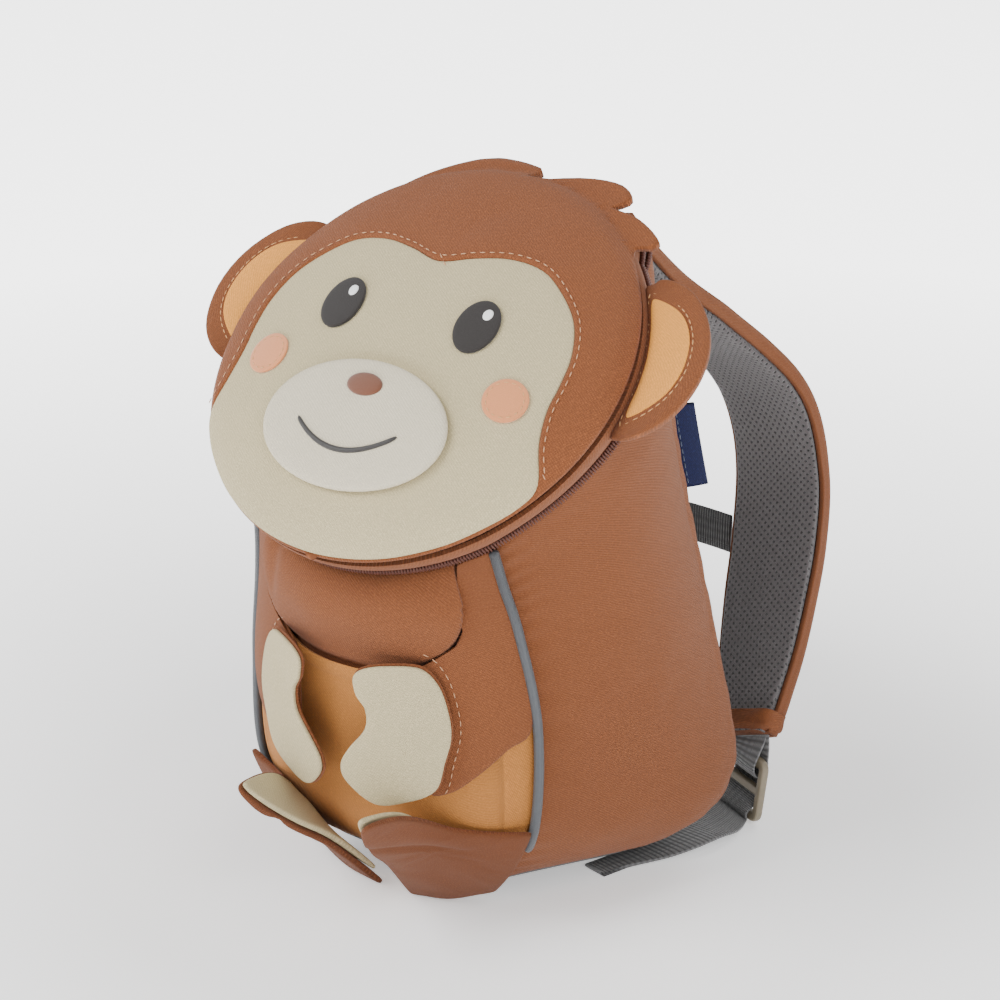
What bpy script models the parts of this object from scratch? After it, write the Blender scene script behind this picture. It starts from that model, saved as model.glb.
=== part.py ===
"""Kids backpack in the form of a sitting monkey, in metres, +Z up, front to -Y.

The bag is a pouch of thin cloth walls. Its skin is one surface, worked out from the table of
sections, and each cloth panel is a strip of that surface with its own wall. The head is a
domed lid on a sloping plane, closed by a zip. Each soft piece sewn on the front is a pad with
an outline of its own, laid on the skin or on the lid.
"""

import math

import bmesh
import bpy
from mathutils import Matrix, Vector

# Overall sizes of the pouch
BODY_WIDTH = 0.175
BODY_DEPTH = 0.112
BODY_HEIGHT = 0.2247
CORNER_RADIUS = 0.008
CLOTH = 0.0018
BACK_PAD = 0.005
BOTTOM_CLOTH = 0.0022
SEAM_GAP = 0.0003
PIPING_RADIUS = 0.0017
PIPING_SIDES = 6

# Shares of the half ring, and of the skin's height, that a panel stops short of its seam
SEAM_STEP = 0.005
EDGE_STEP = 0.004

# The middle that the bottom's rings shrink to, as a share of BODY_DEPTH forward of the back, and its
# rings from the seam in: share of the seam's ring, and share of the seam's height
BOTTOM_MIDDLE = 0.34
BOTTOM_RINGS = ((0.985, 1.0), (0.93, 0.74), (0.84, 0.42), (0.72, 0.16), (0.58, 0.0), (0.25, 0.0))
BOTTOM_STEPS = 32

# Front pocket and chest
POCKET_DEPTH = 0.012
CHEST_RISE = 0.006

# Lid, on a plane that slopes up to the back
LID_SLOPE = math.radians(41.0)
LID_WIDTH = 0.151
LID_LENGTH = 0.154
LID_DOME = 0.016
LID_WALL = 0.0026
BAND_HEIGHT = 0.010
ZIP_HEIGHT = 0.004
BAND_WALL = 0.0018
ZIP_WALL = 0.0024
TUFT_LENGTH = 0.011

# Zip slider: its place and half length as angles from the lid's top, and its stretch up the wall
SLIDER_PLACE = math.radians(-100)
SLIDER_HALF = 0.05
SLIDER_UPS = (0.02, 0.28)
SLIDER_THICKNESS = 0.0026

# Sewn-on patches
PATCH_CLOTH = 0.0011

# Ears
EAR_REACH = 0.0225
EAR_THICKNESS = 0.006
EAR_DROP = 0.004

# Limbs
ARM_THICKNESS = 0.0016
HAND_THICKNESS = 0.0030
HAND_LIFT = 0.011
FOOT_LENGTH = 0.080
FOOT_THICKNESS = 0.0035
SOLE_CLOTH = 0.0012

# Straps, webbing and hardware
STRAP_WIDTH = 0.040
STRAP_CLOTH = 0.0022
STRAP_PAD = 0.0045
STRAP_REACH = 0.090
WEBBING_WIDTH = 0.020
WEBBING_THICKNESS = 0.0014
CHEST_WEBBING = 0.015
TAB_HEIGHT = 0.023
TAB_REACH = 0.009
TAB_CLOTH = 0.0010
TAB_V = 0.70
TAB_INSET = 0.01
TAB_SINK = 0.0004
TAB_TURN = math.radians(60)
LOCK_WIDTH = 0.027
LOCK_LENGTH = 0.024
LOCK_THICKNESS = 0.003
LOCK_BAR = 0.0035
LOCK_SLOT = 0.007
LOCK_TURN = math.radians(30)
LOCK_TILT = 0.15
LOCK_DROP = 0.0052
CHEST_PLACE = 0.66
CHEST_SAG = 0.004
CHEST_CLEAR = 0.0024
CLIP_HALF_WIDTH = 0.012
CLIP_THICKNESS = 0.007
CLIP_BORDER = 0.003
CLIP_ROUND = 0.002

# Generic face, in metres on the lid, s measured up the slope from the lid's middle
MUZZLE_S = -0.036
MUZZLE_HALF_WIDTH = 0.034
MUZZLE_HALF_HEIGHT = 0.022
EYE_X = 0.026
EYE_S = 0.006
EYE_HALF_WIDTH = 0.0075
EYE_HALF_HEIGHT = 0.0100
CHEEK_X = 0.046
CHEEK_S = -0.016
CHEEK_RADIUS = 0.0075
NOSE_S = -0.0235
NOSE_HALF_WIDTH = 0.0065
NOSE_HALF_HEIGHT = 0.0040
SMILE_S = -0.046
SMILE_RISE = 0.008
SMILE_HALF_WIDTH = 0.019
SMILE_WIDTH = 0.0016

BACK_Y = BODY_DEPTH / 4
HALF_WIDTH = BODY_WIDTH / 2

# Places along the half ring of the pouch: the piping's seam, and the two ends of the back corner
SEAM_U = 0.36
CORNER_U = 0.70
BACK_U = 0.76
BACK_SEAM_U = 0.745

# Sections of the pouch, from the bottom seam to the zip. back_z and lift are shares of BODY_HEIGHT,
# tilt of the lid's slope, the half widths of HALF_WIDTH, front, seam and side of BODY_DEPTH from the
# back, corner of CORNER_RADIUS. turn is how far the front arc turns before the piping, in degrees.
SECTION_COLUMNS = (
    "back_z", "lift", "tilt", "seam_half", "side_half", "back_half",
    "front", "seam", "side", "corner", "turn",
)
SECTIONS = (
    (0.045, 0.080, 0.02, 0.390, 0.690, 0.940, 0.705, 0.690, 0.340, 1.0, 70),
    (0.089, 0.075, 0.00, 0.510, 0.870, 0.985, 0.835, 0.745, 0.350, 1.0, 75),
    (0.187, 0.025, 0.02, 0.629, 0.925, 1.000, 0.945, 0.777, 0.357, 1.0, 75),
    (0.400, 0.000, 0.18, 0.640, 0.895, 0.880, 1.000, 0.777, 0.384, 1.0, 72),
    (0.623, 0.000, 0.40, 0.583, 0.860, 0.743, 1.000, 0.804, 0.420, 1.2, 65),
    (0.823, 0.000, 0.71, 0.543, 0.835, 0.655, 0.998, 0.839, 0.455, 1.6, 52),
    (1.000, 0.000, 1.00, 0.526, 0.823, 0.600, 0.990, 0.870, 0.500, 2.0, 40),
)
LIFT_REACH = 0.35

# Mouth of the front pocket: how low it dips, and how far it reaches towards the piping
MOUTH_LOW = 0.62
MOUTH_SIDE = 0.76
MOUTH_ROUND = 3.6

# Lid plane, with its own x and s axes; s climbs the slope
SLOPE_UP = Vector((0, math.cos(LID_SLOPE), math.sin(LID_SLOPE)))
SLOPE_OUT = Vector((0, -math.sin(LID_SLOPE), math.cos(LID_SLOPE)))
LID_BACK = Vector((0, BACK_Y, BODY_HEIGHT))
RIM_OFFSET = SLOPE_OUT.dot(LID_BACK) + ZIP_HEIGHT + BAND_HEIGHT
LID_CENTRE = SLOPE_UP.dot(LID_BACK) - LID_LENGTH / 2
DOME_ROUND = 2.3
DOME_FALL = 0.62
HINGE_HALF = math.radians(32)

# Hair tufts on the lid's top edge: angle from the top in degrees, and rise as a share of TUFT_LENGTH
TUFTS = (
    (-34, 0.0), (-21, 0.42), (-6, 0.5), (7, 0.48), (9.5, -0.2), (19, 0.6), (28, 1.0), (33, 0.85),
    (34.5, 0.2), (41, 0.78), (47, 0.9), (48.5, 0.1), (52, 0.0),
)

# Ears: the stretch of rim that each grows from, as angles from the top
EAR_TOP = math.radians(53)
EAR_LOW = math.radians(100)

# Outlines on the lid, right half from the top down, x and s as shares of half LID_WIDTH and LID_LENGTH
FACE_OUTLINE = (
    (0.0, 0.357), (0.16, 0.403), (0.32, 0.435), (0.48, 0.416), (0.61, 0.33), (0.715, 0.214), (0.77, 0.07),
    (0.78, -0.07), (0.775, -0.19), (0.795, -0.33), (0.835, -0.475), (0.79, -0.58), (0.685, -0.70),
    (0.545, -0.815), (0.365, -0.91), (0.187, -0.962), (0.0, -0.98),
)

# Arm and hand outlines on the right of the pocket: place across to the piping, and place up the skin
ARM_OUTLINE = (
    (0.83, 0.98), (0.79, 0.84), (0.74, 0.73), (0.62, 0.66), (0.44, 0.635), (0.30, 0.60), (0.28, 0.50),
    (0.36, 0.405), (0.48, 0.405), (0.62, 0.44), (0.80, 0.475), (0.915, 0.505), (0.92, 0.64), (0.92, 0.80),
    (0.915, 0.98),
)
HAND_OUTLINE = (
    (0.146, 0.644), (0.244, 0.662), (0.425, 0.653), (0.509, 0.613), (0.537, 0.559), (0.532, 0.514),
    (0.49, 0.469), (0.434, 0.419), (0.295, 0.397), (0.165, 0.392), (0.062, 0.428), (0.044, 0.46),
    (0.09, 0.496), (0.169, 0.536), (0.178, 0.572), (0.141, 0.604),
)

# Leg and foot: a sheet between an inner edge, heel to toe, a middle line and an outer edge up the side
# seam. x is a share of HALF_WIDTH, y a share of FOOT_LENGTH forward of the heel line, z of FOOT_LENGTH.
LEG_COLUMNS = ("inner_x", "inner_y", "inner_z", "mid_x", "mid_y", "mid_z", "outer_x", "outer_y", "outer_z")
LEG_ROWS = (
    (0.069, -0.018, 0.019, 0.24, -0.037, 0.037, 0.411, -0.087, 0.113),
    (0.126, 0.251, 0.3, 0.274, 0.101, 0.237, 0.491, -0.037, 0.2),
    (0.177, 0.439, 0.45, 0.309, 0.176, 0.375, 0.56, -0.005, 0.3),
    (0.229, 0.589, 0.588, 0.343, 0.226, 0.463, 0.611, 0.02, 0.4),
    (0.279, 0.689, 0.7, 0.377, 0.232, 0.519, 0.651, 0.032, 0.5),
)
HEEL_LINE = -0.535
LEG_OUTLINE = (
    (0.0, 0.0), (0.0, 0.25), (0.0, 0.5), (0.0, 0.72), (0.02, 0.88), (0.10, 0.98), (0.22, 1.0), (0.4, 0.99),
    (0.6, 0.98), (0.8, 0.98), (1.0, 1.0), (1.0, 0.75), (1.0, 0.5), (1.0, 0.25), (1.0, 0.0), (0.75, 0.0),
    (0.5, 0.0), (0.25, 0.0),
)
SOLE_OUTLINE = (
    (0.03, 0.08), (0.02, 0.3), (0.02, 0.5), (0.02, 0.72), (0.025, 0.88), (0.07, 0.97), (0.17, 0.975),
    (0.30, 0.93), (0.42, 0.82), (0.48, 0.66), (0.49, 0.50), (0.45, 0.32), (0.34, 0.16), (0.16, 0.07),
)

# Shoulder strap, from the top of the back to the lower corner: x of HALF_WIDTH, reach of STRAP_REACH
# behind the back plane, up of BODY_HEIGHT, width of STRAP_WIDTH, twist in degrees
STRAP_COLUMNS = ("x", "reach", "up", "width", "twist")
STRAP_ROWS = (
    (0.205, 0.09, 0.975, 0.80, 0),
    (0.218, 0.20, 0.925, 0.85, 0),
    (0.255, 0.38, 0.860, 0.92, 2),
    (0.33, 0.62, 0.792, 1.00, 4),
    (0.42, 0.83, 0.725, 1.00, 6),
    (0.51, 0.96, 0.654, 1.00, 8),
    (0.585, 1.00, 0.578, 1.00, 10),
    (0.645, 0.965, 0.490, 1.00, 12),
    (0.705, 0.84, 0.400, 1.00, 14),
    (0.755, 0.68, 0.312, 0.98, 17),
    (0.80, 0.53, 0.232, 0.90, 20),
    (0.835, 0.42, 0.175, 0.76, 24),
    (0.855, 0.33, 0.134, 0.64, 28),
)

# Free run of the webbing from the lock to the bottom seam: x in shares of HALF_WIDTH, the way forward of the
# back plane in shares of BODY_DEPTH, the height in thicknesses, then the width's turn and tip in degrees
WEBBING_COLUMNS = ("x", "forward", "thicknesses", "turn", "tip")
WEBBING_ROWS = (
    (0.845, -0.100, 2.2, -24, 3),
    (0.810, 0.020, 2.6, -18, 7),
    (0.735, 0.200, 1.05, -16, 2),
    (0.650, 0.380, 0.70, -16, 0),
)
STRAP_LIP = 0.0035
STRAP_EDGE = 0.0018

parts = None
cutters = None


def clear_scene():
    for old in list(bpy.data.objects):
        bpy.data.objects.remove(old, do_unlink=True)


def finish(name, colour, roughness):
    """One cloth, webbing or moulded material."""
    material = bpy.data.materials.new(name)
    material.use_nodes = True
    shader = material.node_tree.nodes["Principled BSDF"]
    shader.inputs["Base Color"].default_value = (*colour, 1)
    shader.inputs["Roughness"].default_value = roughness
    shader.inputs["Metallic"].default_value = 0.0
    return material


def add_piece(name, material, points, faces):
    """A closed solid in world coordinates, with its faces turned out."""
    bm = bmesh.new()
    verts = [bm.verts.new(p) for p in points]
    for face in faces:
        bm.faces.new([verts[i] for i in face])
    bmesh.ops.recalc_face_normals(bm, faces=bm.faces)
    mesh = bpy.data.meshes.new(name)
    bm.to_mesh(mesh)
    bm.free()
    mesh.shade_smooth()
    mesh.set_sharp_from_angle(angle=math.radians(40))
    mesh.materials.append(material)
    piece = bpy.data.objects.new(name, mesh)
    parts.objects.link(piece)
    return piece


def smooth_between(rows, t):
    """A row of the table at t, 0 at the first row and 1 at the last, on one smooth curve."""
    last = len(rows) - 1
    place = min(max(t, 0.0), 1.0) * last
    i = min(int(place), last - 1)
    f = place - i
    a, b, c, d = (rows[min(max(j, 0), last)] for j in (i - 1, i, i + 1, i + 2))
    return [
        q + 0.5 * f * (r - p + f * (2 * p - 5 * q + 4 * r - s + f * (3 * (q - r) + s - p)))
        for p, q, r, s in zip(a, b, c, d)
    ]


def ramp(value, low, high):
    """0 below low, 1 above high, and a soft step between."""
    t = min(max((value - low) / (high - low), 0.0), 1.0)
    return t * t * (3 - 2 * t)


def steps(start, end, count):
    return [start + (end - start) * i / count for i in range(count + 1)]


def skin_point(u, v):
    """The pouch's skin: u from the front middle (0) to the back middle (1), and on to 2 by the left."""
    if u > 1:
        u -= 2
    row = dict(zip(SECTION_COLUMNS, smooth_between(SECTIONS, v)))
    radius = row["corner"] * CORNER_RADIUS
    seam_x, side_x, back_x = (row[k] * HALF_WIDTH for k in ("seam_half", "side_half", "back_half"))
    front_y, seam_y, side_y = (BACK_Y - row[k] * BODY_DEPTH for k in ("front", "seam", "side"))
    along = abs(u)
    if along <= SEAM_U:
        turn = math.radians(row["turn"])
        angle = turn * along / SEAM_U
        x = seam_x * math.sin(angle) / math.sin(turn)
        y = front_y + (seam_y - front_y) * (1 - math.cos(angle)) / (1 - math.cos(turn))
    elif along <= CORNER_U:
        t = (along - SEAM_U) / (CORNER_U - SEAM_U)
        seam_share, side_share, back_share = (1 - t) * (1 - 2 * t), 4 * t * (1 - t), t * (2 * t - 1)
        x = seam_share * seam_x + side_share * side_x + back_share * back_x
        y = seam_share * seam_y + side_share * side_y + back_share * (BACK_Y - radius)
    elif along <= BACK_U:
        angle = math.pi / 2 * (along - CORNER_U) / (BACK_U - CORNER_U)
        x = back_x - radius * (1 - math.cos(angle))
        y = BACK_Y - radius * (1 - math.sin(angle))
    else:
        x = (back_x - radius) * (1 - along) / (1 - BACK_U)
        y = BACK_Y
    rear = max(0.0, 1 - (BACK_Y - y) / (LIFT_REACH * BODY_DEPTH)) ** 2
    z = (row["back_z"] + row["lift"] * rear) * BODY_HEIGHT
    z -= row["tilt"] * math.tan(LID_SLOPE) * (BACK_Y - y)
    return Vector((math.copysign(x, u), y, z))


def normal_of(point, a, b, step_a, step_b, low=0.0, high=1.0):
    """The outward normal of a surface point(a, b), by small steps that stay inside b's range."""
    across = point(a + step_a, b) - point(a - step_a, b)
    along = point(a, min(b + step_b, high)) - point(a, max(b - step_b, low))
    return across.cross(along).normalized()


def skin(u, v, height):
    """A point at a height above the pouch's skin."""
    return skin_point(u, v) + normal_of(skin_point, u, v, 0.01, 0.01) * height


def slab(name, material, outer, inner, closed=False):
    """A wall between two grids of points; a closed grid joins its last column to its first."""
    rows, columns = len(outer), len(outer[0])
    points = [p for row in outer for p in row] + [p for row in inner for p in row]
    back = rows * columns
    faces = []
    spans = columns if closed else columns - 1
    for i in range(rows - 1):
        for j in range(spans):
            k = (j + 1) % columns
            quad = (i * columns + j, i * columns + k, (i + 1) * columns + k, (i + 1) * columns + j)
            faces.append(quad)
            faces.append(tuple(back + n for n in reversed(quad)))
    for i in (0, rows - 1):
        for j in range(spans):
            a, b = i * columns + j, i * columns + (j + 1) % columns
            faces.append((b, a, back + a, back + b) if i == 0 else (a, b, back + b, back + a))
    if not closed:
        for j in (0, columns - 1):
            for i in range(rows - 1):
                a, b = i * columns + j, (i + 1) * columns + j
                faces.append((a, b, back + b, back + a) if j == 0 else (b, a, back + a, back + b))
    return add_piece(name, material, points, faces)


def cloth_panel(name, material, us, vs, low, high):
    """A strip of the pouch's skin; low and high give its two faces' heights above the skin."""
    outer = [[skin(u, v, high(u, v)) for u in us] for v in vs]
    inner = [[skin(u, v, low(u, v)) for u in us] for v in vs]
    return slab(name, material, outer, inner)


def closed_curve(points, per_point):
    """A smooth closed curve through the points of an outline."""
    count = len(points)
    curve = []
    for i in range(count):
        four = [points[(i + j - 1) % count] for j in range(4)]
        for k in range(per_point):
            curve.append(smooth_between(four, (1 + k / per_point) / 3))
    return curve


def mirrored_outline(half):
    """A whole outline from its right half, run top to bottom."""
    return list(half) + [(-x, s) for x, s in reversed(half[1:-1])]


def pad(name, material, outline, place, low, thickness, soft=0.5, rings=(0.86, 0.45)):
    """A soft patch inside an outline, laid by place(a, b, height), with a rounded upper edge."""
    count = len(outline)
    centre = [sum(p[k] for p in outline) / count for k in (0, 1)]
    tops = [(1.0, low + thickness * (1 - soft))] + [(f, low + thickness) for f in rings]
    layers = tops + [(f, low) for f in (1.0, *rings)]
    points = [
        place(centre[0] + (a - centre[0]) * f, centre[1] + (b - centre[1]) * f, height)
        for f, height in layers
        for a, b in outline
    ]
    points.append(place(*centre, low + thickness))
    points.append(place(*centre, low))
    faces = []
    half = len(tops)
    for i in range(count):
        j = (i + 1) % count
        for layer in range(len(layers) - 1):
            if layer != half - 1:
                a, b = layer * count, (layer + 1) * count
                quad = (a + i, a + j, b + j, b + i)
                faces.append(quad if layer < half else quad[::-1])
        faces.append((half * count + i, half * count + j, j, i))
        faces.append(((half - 1) * count + i, (half - 1) * count + j, len(points) - 2))
        faces.append(((len(layers) - 1) * count + j, (len(layers) - 1) * count + i, len(points) - 1))
    return add_piece(name, material, points, faces)


def chest_share(u, v):
    """1 where the chest fills the pocket's mouth, 0 where the front wall lies behind the pocket."""
    across = abs(u) / SEAM_U / MOUTH_SIDE
    return ramp(v - mouth(u), 0.0, 0.07) * (1 - ramp(across, 0.86, 1.0))


def front_height(u, v):
    """The front wall: sunk behind the pocket, and puffed out as the chest in the pocket's mouth."""
    roundness = math.sqrt(max(0.0, 1 - (u / SEAM_U) ** 2)) * ramp(v, 0.0, 0.2)
    sunk = -CLOTH - SEAM_GAP * 2 - POCKET_DEPTH * roundness * (1 - ramp(v, 0.8, 1.0))
    up_chest = min(1.0, max(0.0, (v - MOUTH_LOW) / (1 - MOUTH_LOW)))
    chest = CHEST_RISE * math.sin(math.pi * up_chest) ** 0.6 * roundness
    return sunk + (chest - sunk) * chest_share(u, v)


def back_height(u, v):
    """The padded back: full thickness inside, and cloth thin along its seams."""
    from_seam = min(abs(u - BACK_SEAM_U), abs(2 - BACK_SEAM_U - u))
    ends = ramp(v, 0.0, 0.08) * (1 - ramp(v, 0.94, 1.0))
    return (BACK_PAD - CLOTH) * ramp(from_seam, 0.0, 0.05) * ends


def make_pouch(brown, apricot, bottom_cloth, mesh_cloth):
    """Side panels, front wall, pocket, bottom and padded back."""
    heights = steps(EDGE_STEP, 1 - EDGE_STEP, 10)
    start, end = SEAM_U + SEAM_STEP, BACK_SEAM_U
    for side, us in (("right", steps(start, end, 10)), ("left", steps(2 - end, 2 - start, 10))):
        cloth_panel(f"side_panel_{side}", brown, us, heights, lambda u, v: -CLOTH, lambda u, v: 0.0)

    across = steps(-SEAM_U + SEAM_STEP, SEAM_U - SEAM_STEP, 14)
    front_rows = steps(EDGE_STEP, MOUTH_LOW - 0.02, 4) + steps(MOUTH_LOW + 0.02, 1 - EDGE_STEP, 6)
    cloth_panel(
        "front_panel", brown, across, front_rows, lambda u, v: front_height(u, v) - CLOTH, front_height
    )

    pocket_rows = steps(0.0, 1.0, 7)
    grids = []
    for height in (0.0, -CLOTH):
        grids.append([
            [skin(u, EDGE_STEP + (mouth(u) - 2 * EDGE_STEP) * v, height) for u in across]
            for v in pocket_rows
        ])
    slab("belly_pocket", apricot, *grids)

    start = BACK_SEAM_U + SEAM_STEP
    cloth_panel(
        "back_panel", mesh_cloth, steps(start, 2 - start, 8), heights, lambda u, v: -CLOTH, back_height
    )
    make_bottom(bottom_cloth)


def make_bottom(bottom_cloth):
    """A stiff cloth tray: flat where it rests, and rising to the seam all round."""
    ring = [u * 2 / BOTTOM_STEPS for u in range(BOTTOM_STEPS)]
    middle = Vector((0, BACK_Y - BODY_DEPTH * BOTTOM_MIDDLE, 0))
    points = []
    for rise in (0.0, BOTTOM_CLOTH):
        for share, height in BOTTOM_RINGS:
            for u in ring:
                p = skin_point(u, 0.0)
                z = (p.z - SEAM_GAP - BOTTOM_CLOTH) * height + rise
                flat = middle + (Vector((p.x, p.y, 0)) - middle) * share
                points.append(flat + Vector((0, 0, z)))
    points.append(middle)
    points.append(middle + Vector((0, 0, BOTTOM_CLOTH)))
    count, layers = len(ring), len(BOTTOM_RINGS)
    faces = []
    for i in range(count):
        j = (i + 1) % count
        for top in (0, 1):
            for layer in range(layers - 1):
                a = (top * layers + layer) * count
                faces.append((a + i, a + j, a + count + j, a + count + i))
            last = (top * layers + layers - 1) * count
            faces.append((last + i, last + j, len(points) - 2 + top))
        faces.append((i, j, layers * count + j, layers * count + i))
    add_piece("bottom_panel", bottom_cloth, points, faces)


def mouth(u):
    """How far up the skin the pocket's cloth reaches."""
    share = abs(u) / SEAM_U / MOUTH_SIDE
    if share >= 1:
        return 1.0
    return 1 - (1 - MOUTH_LOW) * (1 - share**MOUTH_ROUND) ** (1 / MOUTH_ROUND)


def make_piping(material):
    """A cord of reflective cloth in each front seam, as one tube."""
    for name, sign in (("piping_right", 1), ("piping_left", -1)):
        path = [skin(sign * SEAM_U, v, PIPING_RADIUS + SEAM_GAP) for v in steps(0.235, 0.975, 16)]
        add_piece(name, material, *tube(path, PIPING_RADIUS, PIPING_SIDES))


def tube(path, radius, sides):
    """Points and faces of a round tube along a path, with flat ends."""
    points, faces = [], []
    for i, p in enumerate(path):
        along = (path[min(i + 1, len(path) - 1)] - path[max(i - 1, 0)]).normalized()
        first = along.cross(Vector((0, 1, 0))).normalized()
        second = along.cross(first)
        for k in range(sides):
            angle = 2 * math.pi * k / sides
            points.append(p + (first * math.cos(angle) + second * math.sin(angle)) * radius)
    for i in range(len(path) - 1):
        for k in range(sides):
            n = (k + 1) % sides
            faces.append((i * sides + k, i * sides + n, (i + 1) * sides + n, (i + 1) * sides + k))
    faces.append(tuple(range(sides)))
    faces.append(tuple((len(path) - 1) * sides + k for k in range(sides)))
    return points, faces


def on_plane(x, s, height):
    """A point of the lid plane; height is measured out from the rim."""
    return Vector((x, 0, 0)) + SLOPE_UP * s + SLOPE_OUT * (RIM_OFFSET + height)


def rim_place(angle, share=1.0):
    """x and s on the lid's rim, or inside it, at an angle from the top."""
    return share * LID_WIDTH / 2 * math.sin(angle), LID_CENTRE + share * LID_LENGTH / 2 * math.cos(angle)


def dome(x, s):
    """The lid's crown: how far it stands out from the rim plane."""
    q = math.hypot(x / (LID_WIDTH / 2), (s - LID_CENTRE) / (LID_LENGTH / 2))
    return LID_DOME * max(0.0, 1 - q**DOME_ROUND) ** DOME_FALL


def head_point(x, s):
    return on_plane(x, s, LID_WALL + dome(x, s))


def head_skin(x, s, height):
    """A point at a height above the lid's cloth."""
    small = LID_WIDTH * 0.004
    across = head_point(x + small, s) - head_point(x - small, s)
    along = head_point(x, s + small) - head_point(x, s - small)
    return head_point(x, s) + across.cross(along).normalized() * height


def face_place(a, b, height):
    """Shares of the lid's half width and half length, measured from its middle."""
    return head_skin(a * LID_WIDTH / 2, LID_CENTRE + b * LID_LENGTH / 2, height)


def tuft_rise(angle):
    """How far the hair reaches past the rim, read between the rows of TUFTS."""
    degrees = math.degrees(angle)
    for (a, low), (b, high) in zip(TUFTS, TUFTS[1:]):
        if a <= degrees <= b:
            return TUFT_LENGTH * (low + (high - low) * (degrees - a) / (b - a))
    return 0.0


def ring_u(angle):
    """The place along the pouch's top edge that lies at an angle from the lid's top."""
    low, high = 0.0, 1.0
    for _ in range(24):
        mid = (low + high) / 2
        p = skin_point(mid, 1.0)
        seen = math.atan2(p.x / LID_WIDTH, (SLOPE_UP.dot(p) - LID_CENTRE) / LID_LENGTH)
        if seen > abs(angle):
            low = mid
        else:
            high = mid
    return math.copysign(low, angle)


def band_point(angle, up, height):
    """The wall between pouch and lid: up runs from the pouch's edge (0) to the lid's rim (1)."""
    u = ring_u(angle)
    edge = skin_point(u, 1.0)
    x, s = rim_place(angle)
    rim = on_plane(x, s, 0.0)
    body_out = normal_of(skin_point, u, 1.0, 0.01, 0.01)
    rim_out = (Vector((x / LID_WIDTH, 0, 0)) + SLOPE_UP * (s - LID_CENTRE) / LID_LENGTH).normalized()
    return edge.lerp(rim, up) + body_out.lerp(rim_out, up).normalized() * height


def band_strip(name, material, angles, ups, wall, closed=False):
    outer = [[band_point(a, up, 0.0) for a in angles] for up in ups]
    inner = [[band_point(a, up, -wall) for a in angles] for up in ups]
    return slab(name, material, outer, inner, closed)


def make_lid(brown, zip_cloth, metal):
    """Domed head panel with tufts, its band, the zip and the cloth hinge."""
    whole = BAND_HEIGHT + ZIP_HEIGHT
    joint = ZIP_HEIGHT / whole
    gap = SEAM_GAP / whole
    zip_angles = steps(HINGE_HALF + 0.004, 2 * math.pi - HINGE_HALF - 0.004, 36)
    zip_angles = [a - 2 * math.pi if a > math.pi else a for a in zip_angles]
    band_strip("zip_band", zip_cloth, zip_angles, (gap, joint - gap), ZIP_WALL)
    band_strip("lid_hinge", brown, steps(-HINGE_HALF, HINGE_HALF, 10), (gap, joint - gap), BAND_WALL)
    ring = steps(-math.pi, math.pi, 44)[:-1]
    band_strip("lid_band", brown, ring, (joint + gap, 1 - gap), BAND_WALL, closed=True)

    even = {round(a, 6) for a in steps(-math.pi, math.pi, 32)[:-1]}
    angles = sorted(even | {round(math.radians(degrees), 6) for degrees, _ in TUFTS})
    shares = (1.0, 0.98, 0.92, 0.80, 0.58, 0.30)
    count = len(angles)
    points = []
    for share in shares:
        for a in angles:
            full = 1 + tuft_rise(a) / (LID_LENGTH / 2)
            reach = full if share == 1.0 else share * (1 + min(0.0, tuft_rise(a)) / (LID_LENGTH / 2))
            x, s = rim_place(a, reach)
            lift = LID_WALL * (0.6 if share == 1.0 else 1.0)
            points.append(on_plane(x, s, dome(x, s) + lift))
    for a in angles:
        points.append(on_plane(*rim_place(a, 1 + tuft_rise(a) / (LID_LENGTH / 2)), 0.0))
    inside = 1 - LID_WALL * 1.6 / (LID_WIDTH / 2)
    for share in shares:
        for a in angles:
            x, s = rim_place(a, share * inside * (1 + min(0.0, tuft_rise(a)) / (LID_LENGTH / 2)))
            under = dome(x / inside, LID_CENTRE + (s - LID_CENTRE) / inside)
            points.append(on_plane(x, s, 0.0 if share == 1.0 else under))
    points.append(on_plane(0, LID_CENTRE, LID_DOME + LID_WALL))
    points.append(on_plane(0, LID_CENTRE, LID_DOME))
    faces = []
    layers = len(shares)
    for i in range(count):
        j = (i + 1) % count
        for layer in range(layers - 1):
            a = layer * count
            faces.append((a + i, a + j, a + count + j, a + count + i))
            a = (layers + 1 + layer) * count
            faces.append((a + j, a + i, a + count + i, a + count + j))
        under = layers * count
        faces.append((j, i, under + i, under + j))
        faces.append((under + j, under + i, under + count + i, under + count + j))
        top, low = (layers - 1) * count, 2 * layers * count
        faces.append((top + i, top + j, len(points) - 2))
        faces.append((low + j, low + i, len(points) - 1))
    add_piece("head_panel", brown, points, faces)

    across = steps(SLIDER_PLACE - SLIDER_HALF, SLIDER_PLACE + SLIDER_HALF, 4)
    outer = [[band_point(a, up, SLIDER_THICKNESS) for a in across] for up in SLIDER_UPS]
    inner = [[band_point(a, up, SEAM_GAP) for a in across] for up in SLIDER_UPS]
    slab("zip_slider", metal, outer, inner)


def ear_point(sign, t, r, height):
    """An ear's surface: t runs along the rim from low to high, r out from the rim."""
    angle = EAR_LOW + (EAR_TOP - EAR_LOW) * t
    whole = BAND_HEIGHT + ZIP_HEIGHT
    base = band_point(sign * angle, 1 - (EAR_DROP - height) / whole, SEAM_GAP)
    out = Vector((sign * math.sin(angle), 0, 0)) + SLOPE_UP * math.cos(angle)
    reach = EAR_REACH * math.sin(math.pi * t) ** 0.55
    return base + out * reach * r


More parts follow.
